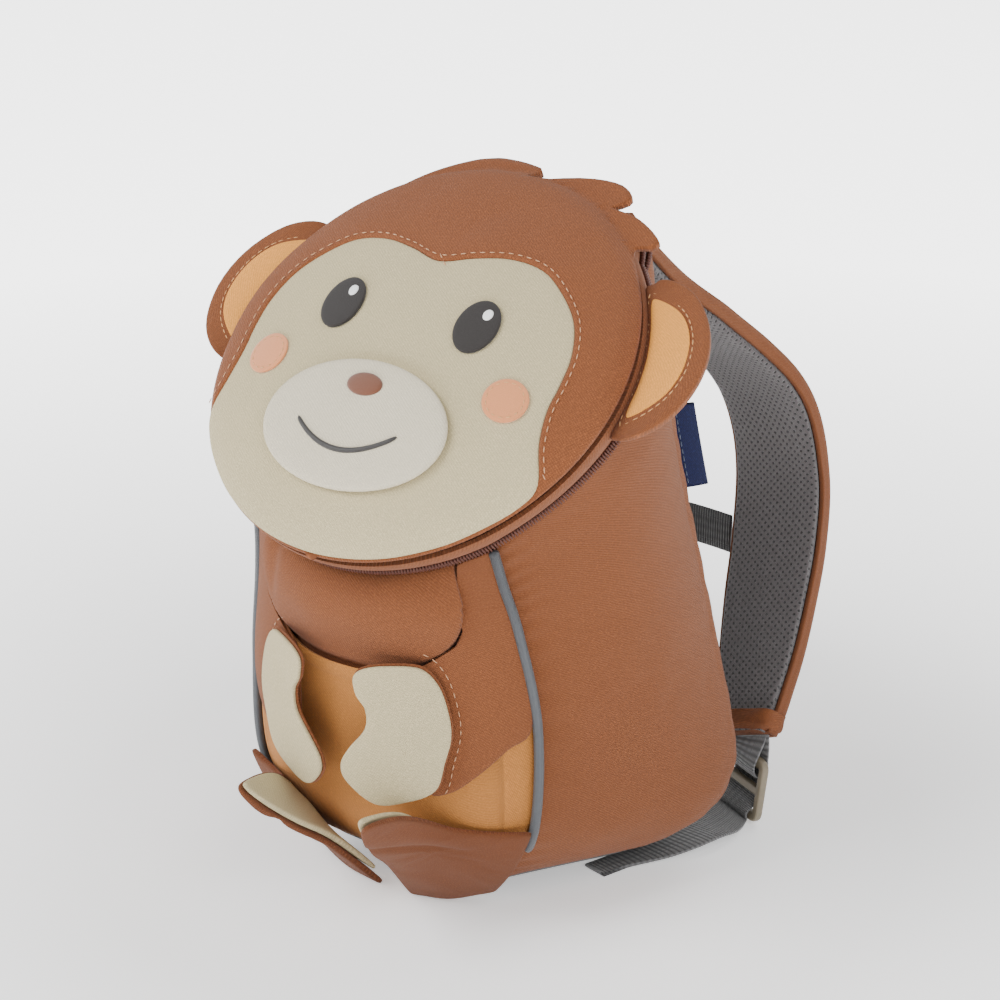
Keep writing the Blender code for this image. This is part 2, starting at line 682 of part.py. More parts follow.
def make_ears(brown, apricot):
    for name, sign in (("right", 1), ("left", -1)):
        along, across = steps(0.03, 0.97, 10), (0.0, 0.4, 0.8, 1.0)
        half = {r: EAR_THICKNESS / 2 * (1 - 0.75 * r**4) for r in across}
        front = [[ear_point(sign, t, r, half[r]) for t in along] for r in across]
        back = [[ear_point(sign, t, r, -half[r]) for t in along] for r in across]
        slab(f"ear_{name}", brown, front, back)
        along, across = steps(0.16, 0.84, 8), (0.08, 0.35, 0.62)
        low = {r: EAR_THICKNESS / 2 * (1 - 0.75 * r**4) + SEAM_GAP for r in across}
        narrow = {r: 1 - 0.45 * r**3 for r in across}
        place = [[0.5 + (t - 0.5) * narrow[r] for t in along] for r in across]
        grids = []
        for rise in (PATCH_CLOTH, 0.0):
            grids.append([
                [ear_point(sign, t, r, low[r] + rise) for t in row] for r, row in zip(across, place)
            ])
        slab(f"inner_ear_{name}", apricot, *grids)


def oval(x, s, half_wide, half_high, count=14):
    """An oval outline on the lid, in metres turned into shares of the lid."""
    return [
        (
            (x + half_wide * math.cos(2 * math.pi * i / count)) / (LID_WIDTH / 2),
            (s + half_high * math.sin(2 * math.pi * i / count)) / (LID_LENGTH / 2),
        )
        for i in range(count)
    ]


def smile_point(t, offset, height):
    """A point of the smile: t runs across it, offset up the slope from its middle line."""
    x = t * SMILE_HALF_WIDTH
    s = SMILE_S + SMILE_RISE * t * t + offset
    return face_place(x / (LID_WIDTH / 2), s / (LID_LENGTH / 2), height)


def make_face(beige, cream, black, apricot, brown):
    """The light face patch and a plain animal face of sewn-on patches."""
    outline = mirrored_outline(FACE_OUTLINE)
    rings = (0.98, 0.95, 0.90, 0.82, 0.64, 0.36)
    pad("face_patch", beige, outline, face_place, SEAM_GAP, PATCH_CLOTH, rings=rings)
    above = SEAM_GAP * 2 + PATCH_CLOTH
    thin = PATCH_CLOTH * 0.8
    muzzle = oval(0, MUZZLE_S, MUZZLE_HALF_WIDTH, MUZZLE_HALF_HEIGHT, 24)
    pad("muzzle", cream, muzzle, face_place, above, thin)
    for name, sign in (("right", 1), ("left", -1)):
        eye = oval(sign * EYE_X, EYE_S, EYE_HALF_WIDTH, EYE_HALF_HEIGHT)
        pad(f"eye_{name}", black, eye, face_place, above, thin)
        cheek = oval(sign * CHEEK_X, CHEEK_S, CHEEK_RADIUS, CHEEK_RADIUS)
        pad(f"cheek_{name}", apricot, cheek, face_place, above, thin)
    above += SEAM_GAP + thin
    pad("nose", brown, oval(0, NOSE_S, NOSE_HALF_WIDTH, NOSE_HALF_HEIGHT), face_place, above, thin)
    along = steps(-1.0, 1.0, 10)
    edges = (-SMILE_WIDTH / 2, SMILE_WIDTH / 2)
    front = [[smile_point(t, offset, above + thin) for t in along] for offset in edges]
    back = [[smile_point(t, offset, above) for t in along] for offset in edges]
    slab("smile", black, front, back)


def pocket_place(sign, lift):
    """Lays a pad on the pocket: a across towards the piping, b up the skin, its inner edge standing off."""

    def place(a, b, height):
        off = lift * (1 - ramp(a, -0.12, 0.62)) * (0.7 + 0.3 * ramp(b, 0.35, 0.65))
        return skin(sign * a * SEAM_U, b, height + off)

    return place


def leg_surface(sign, a, b):
    """The leg's sheet: a from its inner edge to the side seam, b from heel to toe."""
    row = dict(zip(LEG_COLUMNS, smooth_between(LEG_ROWS, b)))
    lines = [[row[f"{line}_{axis}"] for axis in "xyz"] for line in ("inner", "mid", "outer")]
    x, forward, up = smooth_between(lines, a)
    y = HEEL_LINE * BODY_DEPTH - forward * FOOT_LENGTH
    return Vector((sign * x * HALF_WIDTH, y, up * FOOT_LENGTH))


def leg_place(sign):
    """Lays a pad on the leg's sheet; height is measured out of its front."""

    def place(a, b, height):
        small = 0.02
        out = leg_surface(sign, min(a + small, 1.0), b) - leg_surface(sign, max(a - small, 0.0), b)
        rise = leg_surface(sign, a, min(b + small, 1.0)) - leg_surface(sign, a, max(b - small, 0.0))
        return leg_surface(sign, a, b) + out.cross(rise).normalized() * sign * height

    return place


def make_limbs(brown, beige):
    """Flat arms and hands on the pocket, and legs whose feet stand free with light soles."""
    for name, sign in (("right", 1), ("left", -1)):
        on_pocket = pocket_place(sign, 0.0)
        pad(f"arm_{name}", brown, ARM_OUTLINE, on_pocket, SEAM_GAP * 3, ARM_THICKNESS)
        clear = SEAM_GAP * 4 + ARM_THICKNESS
        off_pocket = pocket_place(sign, HAND_LIFT)
        pad(f"hand_{name}", beige, HAND_OUTLINE, off_pocket, clear, HAND_THICKNESS)
        pad(f"leg_{name}", brown, LEG_OUTLINE, leg_place(sign), 0.0, FOOT_THICKNESS)
        under = -SEAM_GAP * 5 - SOLE_CLOTH
        pad(f"sole_{name}", beige, SOLE_OUTLINE, leg_place(sign), under, SOLE_CLOTH)


def strap_middle(sign, t):
    r = dict(zip(STRAP_COLUMNS, smooth_between(STRAP_ROWS, t)))
    y = BACK_Y + r["reach"] * STRAP_REACH
    return Vector((sign * r["x"] * HALF_WIDTH, y, r["up"] * BODY_HEIGHT))


def strap_frame(sign, t):
    """The middle of a strap at t, with its directions across and out of its cloth side."""
    row = dict(zip(STRAP_COLUMNS, smooth_between(STRAP_ROWS, t)))
    small = 0.01
    along = strap_middle(sign, min(t + small, 1)) - strap_middle(sign, max(t - small, 0))
    along.normalize()
    twist = math.radians(row["twist"])
    across = Vector((math.cos(twist), -sign * math.sin(twist), 0))
    across = (across - along * across.dot(along)).normalized()
    out = across.cross(along).normalized()
    if out.y < 0:
        out = -out
    return strap_middle(sign, t), across, out, row["width"] * STRAP_WIDTH


def strap_profiles(half):
    """Sections of a strap: the channel's outside and hollow, and the pad's top and underside."""
    deep, edge = -STRAP_LIP, STRAP_EDGE
    channel = (
        (-half, deep), (-half, 0.0), (-half + edge, STRAP_CLOTH), (0.0, STRAP_CLOTH + edge / 2),
        (half - edge, STRAP_CLOTH), (half, 0.0), (half, deep),
    )
    hollow = (
        (-half + edge, deep), (-half + edge, -edge), (-half + edge * 1.5, -edge / 3), (0.0, 0.0),
        (half - edge * 1.5, -edge / 3), (half - edge, -edge), (half - edge, deep),
    )
    wide = half - edge - SEAM_GAP
    top = -edge - SEAM_GAP
    low = top - STRAP_PAD
    rounded = low + STRAP_PAD / 3
    pad_top = ((-wide, top), (-wide / 2, top), (wide / 2, top), (wide, top))
    pad_low = ((-wide, rounded), (-wide / 2, low), (wide / 2, low), (wide, rounded))
    return channel, hollow, pad_top, pad_low


def make_straps(brown, mesh_cloth):
    """Each strap is a channel of cloth round a pad of spacer mesh."""
    for name, sign in (("right", 1), ("left", -1)):
        grids = ([], [], [], [])
        for t in steps(0.0, 1.0, 17):
            middle, across, out, width = strap_frame(sign, t)
            for grid, profile in zip(grids, strap_profiles(width / 2)):
                grid.append([middle + across * x + out * h for x, h in profile])
        slab(f"strap_{name}", brown, grids[0], grids[1])
        slab(f"strap_mesh_{name}", mesh_cloth, grids[2], grids[3])


def ribbon(name, material, route, width, thickness):
    """A flat webbing along a route of points, each with the direction of the webbing's width."""
    outer, inner = [], []
    for i, (p, across) in enumerate(route):
        along = (route[min(i + 1, len(route) - 1)][0] - route[max(i - 1, 0)][0]).normalized()
        out = across.cross(along).normalized()
        for grid, h in ((outer, thickness / 2), (inner, -thickness / 2)):
            grid.append([p + across.normalized() * width / 2 * k + out * h for k in (-1, 1)])
    return slab(name, material, outer, inner)


def box_mesh(name, size, bevelled, offset, segments):
    """A box of a given size with some of its edges rounded."""
    bm = bmesh.new()
    bmesh.ops.create_cube(bm, size=1.0)
    bmesh.ops.scale(bm, vec=size, verts=bm.verts)
    edges = [e for e in bm.edges if bevelled(e)]
    if edges:
        bmesh.ops.bevel(
            bm, geom=edges, offset=offset, segments=segments, profile=0.5, affect="EDGES", material=-1
        )
    mesh = bpy.data.meshes.new(name)
    bm.to_mesh(mesh)
    bm.free()
    return mesh


def along_z(edge):
    run = edge.verts[1].co - edge.verts[0].co
    return math.hypot(run.x, run.y) < SEAM_GAP


def make_lock(name, sign, plastic):
    """A ladder lock: a rounded plate with two slots. Returns its middle and its directions."""
    across = Vector((math.cos(LOCK_TURN), -sign * math.sin(LOCK_TURN), 0))
    down = Vector((0, -LOCK_TILT, -1)).normalized()
    down = (down - across * across.dot(down)).normalized()
    facing = across.cross(down)
    middle = strap_middle(sign, 1.0) + down * (LOCK_LENGTH / 2 + LOCK_DROP)
    turn = Matrix((across, down, facing)).transposed()
    frame = Matrix.Translation(middle) @ turn.to_4x4()
    size = (LOCK_WIDTH, LOCK_LENGTH, LOCK_THICKNESS)
    mesh = box_mesh(f"ladder_lock_{name}", size, along_z, LOCK_BAR, 3)
    mesh.materials.append(plastic)
    lock = bpy.data.objects.new(f"ladder_lock_{name}", mesh)
    parts.objects.link(lock)
    slot_place = LOCK_LENGTH / 2 - LOCK_BAR - LOCK_SLOT / 2
    for which, place in (("upper", -slot_place), ("lower", slot_place)):
        size = (WEBBING_WIDTH + 4 * SEAM_GAP, LOCK_SLOT, LOCK_THICKNESS * 3)
        cutter_mesh = box_mesh(f"slot_{which}_{name}", size, lambda edge: False, 0.0, 1)
        cutter = bpy.data.objects.new(f"slot_{which}_{name}", cutter_mesh)
        cutters.objects.link(cutter)
        cutter.hide_render = True
        cutter.display_type = "WIRE"
        cutter.matrix_world = frame @ Matrix.Translation((0, place, 0))
        cut = lock.modifiers.new(which, "BOOLEAN")
        cut.object = cutter
        cut.operation = "DIFFERENCE"
        cut.solver = "EXACT"
    lock.matrix_world = frame
    behind = facing if facing.y > 0 else -facing
    return middle, across, down, behind * (LOCK_THICKNESS / 2 + WEBBING_THICKNESS / 2 + SEAM_GAP * 2)


def make_webbing(name, sign, lock, webbing_cloth):
    """Webbing threaded through the lock's lower slot, then forward under the bottom's edge."""
    middle, across, down, behind = lock
    slot_top = LOCK_LENGTH / 2 - LOCK_BAR - LOCK_SLOT
    route = [
        (middle - down * (LOCK_LENGTH - LOCK_BAR) / 2 + behind, across),
        (middle + down * slot_top + behind, across),
        (middle + down * (slot_top + LOCK_SLOT) - behind, across),
        (middle + down * LOCK_LENGTH / 2 - behind, across),
    ]
    for row in WEBBING_ROWS:
        at = dict(zip(WEBBING_COLUMNS, row))
        y = BACK_Y - at["forward"] * BODY_DEPTH
        place = Vector((sign * at["x"] * HALF_WIDTH, y, at["thicknesses"] * WEBBING_THICKNESS))
        turn, tip = math.radians(at["turn"]), math.radians(at["tip"])
        width = Vector((math.cos(turn), sign * math.sin(turn), sign * math.sin(tip)))
        route.append((place, width))
    ribbon(f"webbing_{name}", webbing_cloth, route, WEBBING_WIDTH, WEBBING_THICKNESS)


def make_chest_strap(black, plastic):
    """Two halves of webbing between the shoulder straps, and the clip where they meet."""
    middle, across, _, width = strap_frame(1, CHEST_PLACE)
    edge = middle - across * (width / 2 + SEAM_GAP)
    start, end = edge.x - CHEST_CLEAR, CLIP_HALF_WIDTH + SEAM_GAP
    for name, sign in (("right", 1), ("left", -1)):
        route = []
        for k in steps(0.0, 1.0, 6):
            y = edge.y + CHEST_SAG * math.sin(math.pi / 2 * k)
            route.append((Vector((sign * (start + (end - start) * k), y, edge.z)), Vector((0, 0, 1))))
        ribbon(f"chest_strap_{name}", black, route, CHEST_WEBBING, WEBBING_THICKNESS)
    size = (CLIP_HALF_WIDTH * 2, CLIP_THICKNESS, CHEST_WEBBING + 2 * CLIP_BORDER)
    mesh = box_mesh("chest_clip", size, lambda edge: True, CLIP_ROUND, 2)
    mesh.materials.append(plastic)
    clip = bpy.data.objects.new("chest_clip", mesh)
    parts.objects.link(clip)
    clip.matrix_world = Matrix.Translation((0, edge.y + CHEST_SAG, edge.z))


def make_hardware(webbing_cloth, plastic, black, navy):
    for name, sign in (("right", 1), ("left", -1)):
        lock = make_lock(name, sign, plastic)
        make_webbing(name, sign, lock, webbing_cloth)
    make_chest_strap(black, plastic)

    half = TAB_HEIGHT / BODY_HEIGHT / 2
    out = Vector((math.cos(TAB_TURN), math.sin(TAB_TURN), 0))
    side = Vector((math.sin(TAB_TURN), -math.cos(TAB_TURN), 0)) * TAB_CLOTH
    rows = []
    for v in (TAB_V - half, TAB_V + half):
        base = skin(BACK_SEAM_U - TAB_INSET, v, -TAB_SINK)
        rows.append([base + out * TAB_REACH * k for k in (0.0, 1.0)])
    slab("side_tab", navy, [[p + side for p in row] for row in rows], rows)


def stand_on_origin():
    """Moves the whole model so that the middle of its box stands on the origin."""
    bpy.context.view_layer.update()
    corners = [piece.matrix_world @ Vector(c) for piece in parts.objects for c in piece.bound_box]
    low = [min(c[k] for c in corners) for k in range(3)]
    high = [max(c[k] for c in corners) for k in range(3)]
    shift = Vector((-(low[0] + high[0]) / 2, -(low[1] + high[1]) / 2, -low[2]))
    for piece in list(parts.objects) + list(cutters.objects):
        piece.matrix_world.translation += shift
    return shift


clear_scene()
parts = bpy.data.collections.new("kids_backpack")
bpy.context.scene.collection.children.link(parts)
cutters = bpy.data.collections.new("cutters")
cutters.hide_render = True
bpy.context.scene.collection.children.link(cutters)
brown = finish("brown_twill", (0.36, 0.15, 0.07), 0.85)
beige = finish("beige_twill", (0.62, 0.56, 0.44), 0.85)
cream = finish("cream_twill", (0.74, 0.69, 0.58), 0.85)
apricot = finish("apricot_twill", (0.76, 0.42, 0.15), 0.85)
grey_mesh = finish("grey_spacer_mesh", (0.10, 0.10, 0.10), 0.9)
grey_webbing = finish("grey_webbing", (0.20, 0.20, 0.20), 0.8)
reflective = finish("reflective_cord", (0.30, 0.34, 0.38), 0.4)
zip_brown = finish("zip_brown", (0.13, 0.035, 0.02), 0.6)
khaki = finish("khaki_plastic", (0.42, 0.38, 0.26), 0.45)
black = finish("black_cloth", (0.01, 0.01, 0.01), 0.8)
navy = finish("navy_tab", (0.02, 0.05, 0.16), 0.7)
make_pouch(brown, apricot, grey_webbing, grey_mesh)
make_piping(reflective)
make_lid(brown, zip_brown, khaki)
make_ears(brown, apricot)
make_face(beige, cream, black, apricot, brown)
make_limbs(brown, beige)
make_straps(brown, grey_mesh)
make_hardware(grey_webbing, khaki, black, navy)
stand_on_origin()
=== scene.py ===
import math

import bmesh
import bpy
from mathutils import Matrix, Vector, noise


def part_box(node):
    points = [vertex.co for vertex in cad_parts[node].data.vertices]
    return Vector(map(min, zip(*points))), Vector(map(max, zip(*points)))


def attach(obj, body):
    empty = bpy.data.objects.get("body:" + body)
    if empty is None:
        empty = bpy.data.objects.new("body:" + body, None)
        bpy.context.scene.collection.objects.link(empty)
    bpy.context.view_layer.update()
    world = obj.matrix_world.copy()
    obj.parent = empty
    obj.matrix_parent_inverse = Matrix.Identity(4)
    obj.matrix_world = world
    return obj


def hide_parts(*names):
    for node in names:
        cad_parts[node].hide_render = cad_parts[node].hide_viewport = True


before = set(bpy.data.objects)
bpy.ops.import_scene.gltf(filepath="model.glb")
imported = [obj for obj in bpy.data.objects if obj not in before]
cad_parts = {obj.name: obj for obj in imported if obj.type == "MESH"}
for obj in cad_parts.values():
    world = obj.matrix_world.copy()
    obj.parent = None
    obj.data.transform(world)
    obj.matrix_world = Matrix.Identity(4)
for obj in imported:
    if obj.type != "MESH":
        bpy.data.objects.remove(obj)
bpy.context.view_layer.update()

# Room
# The bag stands on a plain white studio floor whose glow is painted light: dim near the bag, a painted
# shadow round it, and brighter further off. A long lens looks a little down on its face and its right flank,
# and three large soft lamps leave only a faint shadow.
VIEW_SHIFT = -0.0058
FLOOR_REACH = 6.0
GLOW_NEAR, GLOW_FAR = 0.15, 0.8
GLOW_LOW, GLOW_HIGH = 0.5, 3.2
SOFTBOX_SIZE = 1.2
SOFTBOXES = (
    ((-0.9, -1.2, 1.5), 42),
    ((1.4, -0.7, 1.2), 17),
    ((0.2, 1.2, 1.6), 12),
)
target = Vector((0.004, VIEW_SHIFT, 0.1255))
camera_data = bpy.data.cameras.new("camera")
camera_data.lens = 90
camera_data.sensor_width = 36
camera = bpy.data.objects.new("camera", camera_data)
camera.location = (0.44681, -0.68187 + VIEW_SHIFT, 0.42948)
camera.rotation_euler = (target - camera.location).to_track_quat("-Z", "Y").to_euler()
bpy.context.collection.objects.link(camera)
bpy.context.scene.camera = camera

floor_sheet = bmesh.new()
bmesh.ops.create_grid(floor_sheet, x_segments=2, y_segments=2, size=FLOOR_REACH)
floor_mesh = bpy.data.meshes.new("floor")
floor_sheet.to_mesh(floor_mesh)
floor_sheet.free()
floor = bpy.data.objects.new("floor", floor_mesh)
bpy.context.collection.objects.link(floor)
paper = bpy.data.materials.new("glowing_studio_paper")
paper.use_nodes = True
paper_shader = paper.node_tree.nodes["Principled BSDF"]
paper_shader.inputs["Base Color"].default_value = (0.93, 0.93, 0.93, 1)
paper_shader.inputs["Roughness"].default_value = 0.95
paper_shader.inputs["Emission Color"].default_value = (1.0, 1.0, 1.0, 1)
place = paper.node_tree.nodes.new("ShaderNodeTexCoord")
reach = paper.node_tree.nodes.new("ShaderNodeVectorMath")
reach.operation = "LENGTH"
# Painted light: the floor's glow is weak near the bag, a painted shadow round it, and grows further off
painted_floor_glow = paper.node_tree.nodes.new("ShaderNodeMapRange")
painted_floor_glow.inputs["From Min"].default_value, painted_floor_glow.inputs["From Max"].default_value = GLOW_NEAR, GLOW_FAR
painted_floor_glow.inputs["To Min"].default_value, painted_floor_glow.inputs["To Max"].default_value = GLOW_LOW, GLOW_HIGH
paper.node_tree.links.new(place.outputs["Object"], reach.inputs[0])
paper.node_tree.links.new(reach.outputs["Value"], painted_floor_glow.inputs["Value"])
paper.node_tree.links.new(painted_floor_glow.outputs["Result"], paper_shader.inputs["Emission Strength"])
floor_mesh.materials.append(paper)

world = bpy.data.worlds.new("studio")
world.use_nodes = True
world.node_tree.nodes["Background"].inputs["Color"].default_value = (1.0, 1.0, 1.0, 1)
world.node_tree.nodes["Background"].inputs["Strength"].default_value = 0.5
bpy.context.scene.world = world
for place, watts in SOFTBOXES:
    lamp_data = bpy.data.lights.new("softbox", "AREA")
    lamp_data.size = SOFTBOX_SIZE
    lamp_data.energy = watts
    lamp = bpy.data.objects.new("softbox", lamp_data)
    lamp.location = place
    lamp.rotation_euler = (Vector((0, 0, 0.1)) - lamp.location).to_track_quat("-Z", "Y").to_euler()
    bpy.context.collection.objects.link(lamp)

# Side panels
# Two pieces of brown polyester twill make the flanks. Each is cut as one piece, sewn to the piped front
# seam, to the padded back, to the zip above and to the grey bottom, and stuffing it rounds it outwards.
BODY_WIDTH = 0.175
BODY_DEPTH = 0.112
BODY_HEIGHT = 0.2247
CORNER_RADIUS = 0.008
CLOTH = 0.0018
BACK_PAD = 0.005
SEAM_U, CORNER_U, BACK_U, BACK_SEAM_U = 0.36, 0.70, 0.76, 0.745
SIDES = ((1, "right"), (-1, "left"))
HALF_WIDTH = BODY_WIDTH / 2
DEPTH_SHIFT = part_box("back_panel")[1][1] - (BODY_DEPTH / 4 + BACK_PAD - CLOTH)
BACK_Y = BODY_DEPTH / 4 + DEPTH_SHIFT
LIFT_REACH = 0.35
SLOPE = math.radians(41.0)
CLOTH_FRAMES = 20

# One row for each level, from the bottom seam to the zip, as shares of the body's height, half width and
# depth: height at the back, lift at the back, slope, half widths at seam, side and back, depths of front,
# seam and side, corner radius, and the front's turn in degrees
LEVELS = (
    (0.045, 0.080, 0.02, 0.390, 0.690, 0.940, 0.705, 0.690, 0.340, 1.0, 70),
    (0.089, 0.075, 0.00, 0.510, 0.870, 0.985, 0.835, 0.745, 0.350, 1.0, 75),
    (0.187, 0.025, 0.02, 0.629, 0.925, 1.000, 0.945, 0.777, 0.357, 1.0, 75),
    (0.400, 0.000, 0.18, 0.640, 0.895, 0.880, 1.000, 0.777, 0.384, 1.0, 72),
    (0.623, 0.000, 0.40, 0.583, 0.860, 0.743, 1.000, 0.804, 0.420, 1.2, 65),
    (0.823, 0.000, 0.71, 0.543, 0.835, 0.655, 0.998, 0.839, 0.455, 1.6, 52),
    (1.000, 0.000, 1.00, 0.526, 0.823, 0.600, 0.990, 0.870, 0.500, 2.0, 40),
)


def between(rows, t):
    """The row at t, from 0 at the first to 1 at the last, on one smooth curve."""
    last = len(rows) - 1
    place = min(max(t, 0.0), 1.0) * last
    i = min(int(place), last - 1)
    f = place - i
    a, b, c, d = (rows[min(max(j, 0), last)] for j in (i - 1, i, i + 1, i + 2))
    return [
        q + 0.5 * f * (r - p + f * (2 * p - 5 * q + 4 * r - s + f * (3 * (q - r) + s - p)))
        for p, q, r, s in zip(a, b, c, d)
    ]


def ease(value, low, high):
    """A soft step from 0 at low to 1 at high."""
    t = min(max((value - low) / (high - low), 0.0), 1.0)
    return t * t * (3 - 2 * t)


def pouch(u, v):
    """The pouch's skin: u from the front's middle (0) round by the right to the back's middle (1), and on
    to 2 by the left; v from the bottom seam to the zip."""
    if u > 1:
        u -= 2
    back_z, lift, tilt, seam_x, side_x, back_x, front_y, seam_y, side_y, corner, turn = between(LEVELS, v)
    radius = corner * CORNER_RADIUS
    seam_x, side_x, back_x = seam_x * HALF_WIDTH, side_x * HALF_WIDTH, back_x * HALF_WIDTH
    front_y, seam_y, side_y = (BACK_Y - y * BODY_DEPTH for y in (front_y, seam_y, side_y))
    along = abs(u)
    if along <= SEAM_U:
        turn = math.radians(turn)
        angle = turn * along / SEAM_U
        x = seam_x * math.sin(angle) / math.sin(turn)
        y = front_y + (seam_y - front_y) * (1 - math.cos(angle)) / (1 - math.cos(turn))
    elif along <= CORNER_U:
        t = (along - SEAM_U) / (CORNER_U - SEAM_U)
        near, mid, far = (1 - t) * (1 - 2 * t), 4 * t * (1 - t), t * (2 * t - 1)
        x = near * seam_x + mid * side_x + far * back_x
        y = near * seam_y + mid * side_y + far * (BACK_Y - radius)
    elif along <= BACK_U:
        angle = math.pi / 2 * (along - CORNER_U) / (BACK_U - CORNER_U)
        x = back_x - radius * (1 - math.cos(angle))
        y = BACK_Y - radius * (1 - math.sin(angle))
    else:
        x = (back_x - radius) * (1 - along) / (1 - BACK_U)
        y = BACK_Y
    rear = max(0.0, 1 - (BACK_Y - y) / (LIFT_REACH * BODY_DEPTH)) ** 2
    z = (back_z + lift * rear) * BODY_HEIGHT - tilt * math.tan(SLOPE) * (BACK_Y - y)
    return Vector((math.copysign(x, u), y, z))


def out_of(surface, a, b, small=0.01):
    """The outward direction of a surface(a, b)."""
    across = surface(a + small, b) - surface(a - small, b)
    rise = surface(a, min(b + small, 1.0)) - surface(a, max(b - small, 0.0))
    return across.cross(rise).normalized()


def skin(u, v, height):
    """A point at a height above the pouch's skin."""
    return pouch(u, v) + out_of(pouch, u, v) * height


def finish(name, bm, materials, sharp=50):
    """Turns a bmesh into a piece that rides with the bag."""
    mesh = bpy.data.meshes.new(name)
    bm.to_mesh(mesh)
    bm.free()
    mesh.shade_smooth()
    mesh.set_sharp_from_angle(angle=math.radians(sharp))
    for material in materials:
        mesh.materials.append(material)
    piece = bpy.data.objects.new(name, mesh)
    bpy.context.collection.objects.link(piece)
    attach(piece, "root")
    return piece


def blown(bm, seams, cap, pressure=4.0):
    """Blows cloth up between its seams in a cloth simulation, and lets no point move further than the cap."""
    mesh = bpy.data.meshes.new("cloth_at_rest")
    bm.to_mesh(mesh)
    sack = bpy.data.objects.new("cloth_at_rest", mesh)
    bpy.context.collection.objects.link(sack)
    group = sack.vertex_groups.new(name="seams")
    for i, hold in enumerate(seams):
        if hold > 0:
            group.add([i], hold, "REPLACE")
    cloth = sack.modifiers.new("cloth", "CLOTH")
    cloth.settings.vertex_group_mass = "seams"
    cloth.settings.use_pressure = True
    cloth.settings.uniform_pressure_force = pressure
    cloth.settings.effector_weights.gravity = 0
    cloth.settings.shrink_min = -0.02
    for number in range(1, CLOTH_FRAMES + 1):
        bpy.context.scene.frame_set(number)
    shape = sack.evaluated_get(bpy.context.evaluated_depsgraph_get()).data
    moves = [new.co - vert.co for new, vert in zip(shape.vertices, bm.verts)]
    longest = max(move.length for move in moves)
    for vert, move in zip(bm.verts, moves):
        vert.co += move * min(1.0, cap / max(longest, 1e-9))
    bpy.data.objects.remove(sack)
    bpy.data.meshes.remove(mesh)
    bpy.context.scene.frame_set(1)


def lay_grain(bm, cut, columns, rows, grain):
    """Writes the cloth's grain into its UV map in millimetres, measured on the cloth where none is given."""
    layer = bm.loops.layers.uv.new("UVMap")
    if grain:
        threads = [grain(a, b) for a, b in cut]
    else:
        wide = columns + 1
        verts = bm.verts[:]
        threads, up = [], 0.0
        for j in range(rows + 1):
            row = verts[j * wide : (j + 1) * wide]
            if j:
                up += (row[wide // 2].co - verts[(j - 1) * wide + wide // 2].co).length * 1000
            run = [0.0]
            for left, right in zip(row, row[1:]):
                run.append(run[-1] + (right.co - left.co).length * 1000)
            threads += [(r - run[wide // 2], up) for r in run]
    for face in bm.faces:
        for loop in face.loops:
            loop[layer].uv = threads[loop.vert.index]


def panel(name, columns, rows, place, wall, materials, grain=None, weld=False, sharp=50, blow=0.0):
    """A cloth panel: a flat grid carried point by point to its place, then given a wall inwards."""
    bm = bmesh.new()
    bmesh.ops.create_grid(bm, x_segments=columns, y_segments=rows, size=0.5)
    cut = [(vert.co.x + 0.5, vert.co.y + 0.5) for vert in bm.verts]
    for vert, (a, b) in zip(bm.verts, cut):
        vert.co = place(a, b)
    bm.verts.index_update()
    lay_grain(bm, cut, columns, rows, grain)
    if weld:
        bmesh.ops.remove_doubles(bm, verts=bm.verts, dist=1e-6)
    bm.normal_update()
    middle = Vector((0, DEPTH_SHIFT - 0.02, 0.11))
    if sum((f.calc_center_median() - middle).dot(f.normal) * f.calc_area() for f in bm.faces) < 0:
        bmesh.ops.reverse_faces(bm, faces=bm.faces)
    if blow:
        blown(bm, [1 - ease(min(a, 1 - a, b, 1 - b), 0.0, 0.03) for a, b in cut], blow)
        bm.normal_update()
    if wall:
        bmesh.ops.solidify(bm, geom=bm.faces[:], thickness=wall)
    return finish(name, bm, materials, sharp)


def node(tree, kind, *inputs, **settings):
    """One shader node with its settings, and its first inputs linked or set."""
    made = tree.nodes.new(kind)
    for key, value in settings.items():
        setattr(made, key, value)
    for i, value in enumerate(inputs):
        if value is None:
            continue
        if isinstance(value, bpy.types.NodeSocket):
            tree.links.new(value, made.inputs[i])
        else:
            made.inputs[i].default_value = value
    return made


def fresh_material(name):
    """A new material with its node tree and its main shader."""
    material = bpy.data.materials.new(name)
    material.use_nodes = True
    return material, material.node_tree, material.node_tree.nodes["Principled BSDF"]


def raised(tree, shader, height, strength, distance):
    """Gives a material the relief of a height pattern."""
    bump = node(tree, "ShaderNodeBump", strength, distance)
    tree.links.new(height, bump.inputs["Height"])
    tree.links.new(bump.outputs[0], shader.inputs["Normal"])


def mixed(tree, share, first, second, how="MIX"):
    """Two colours mixed by a share, each linked or set."""
    mix = tree.nodes.new("ShaderNodeMix")
    mix.data_type, mix.blend_type = "RGBA", how
    for socket, value in ((mix.inputs[0], share), (mix.inputs[6], first), (mix.inputs[7], second)):
        if isinstance(value, bpy.types.NodeSocket):
            tree.links.new(value, socket)
        else:
            socket.default_value = value
    return mix.outputs[2]


def shade(colour, by):
    """A colour made darker or paler by a factor."""
    return (*(min(1.0, c * by) for c in colour), 1)


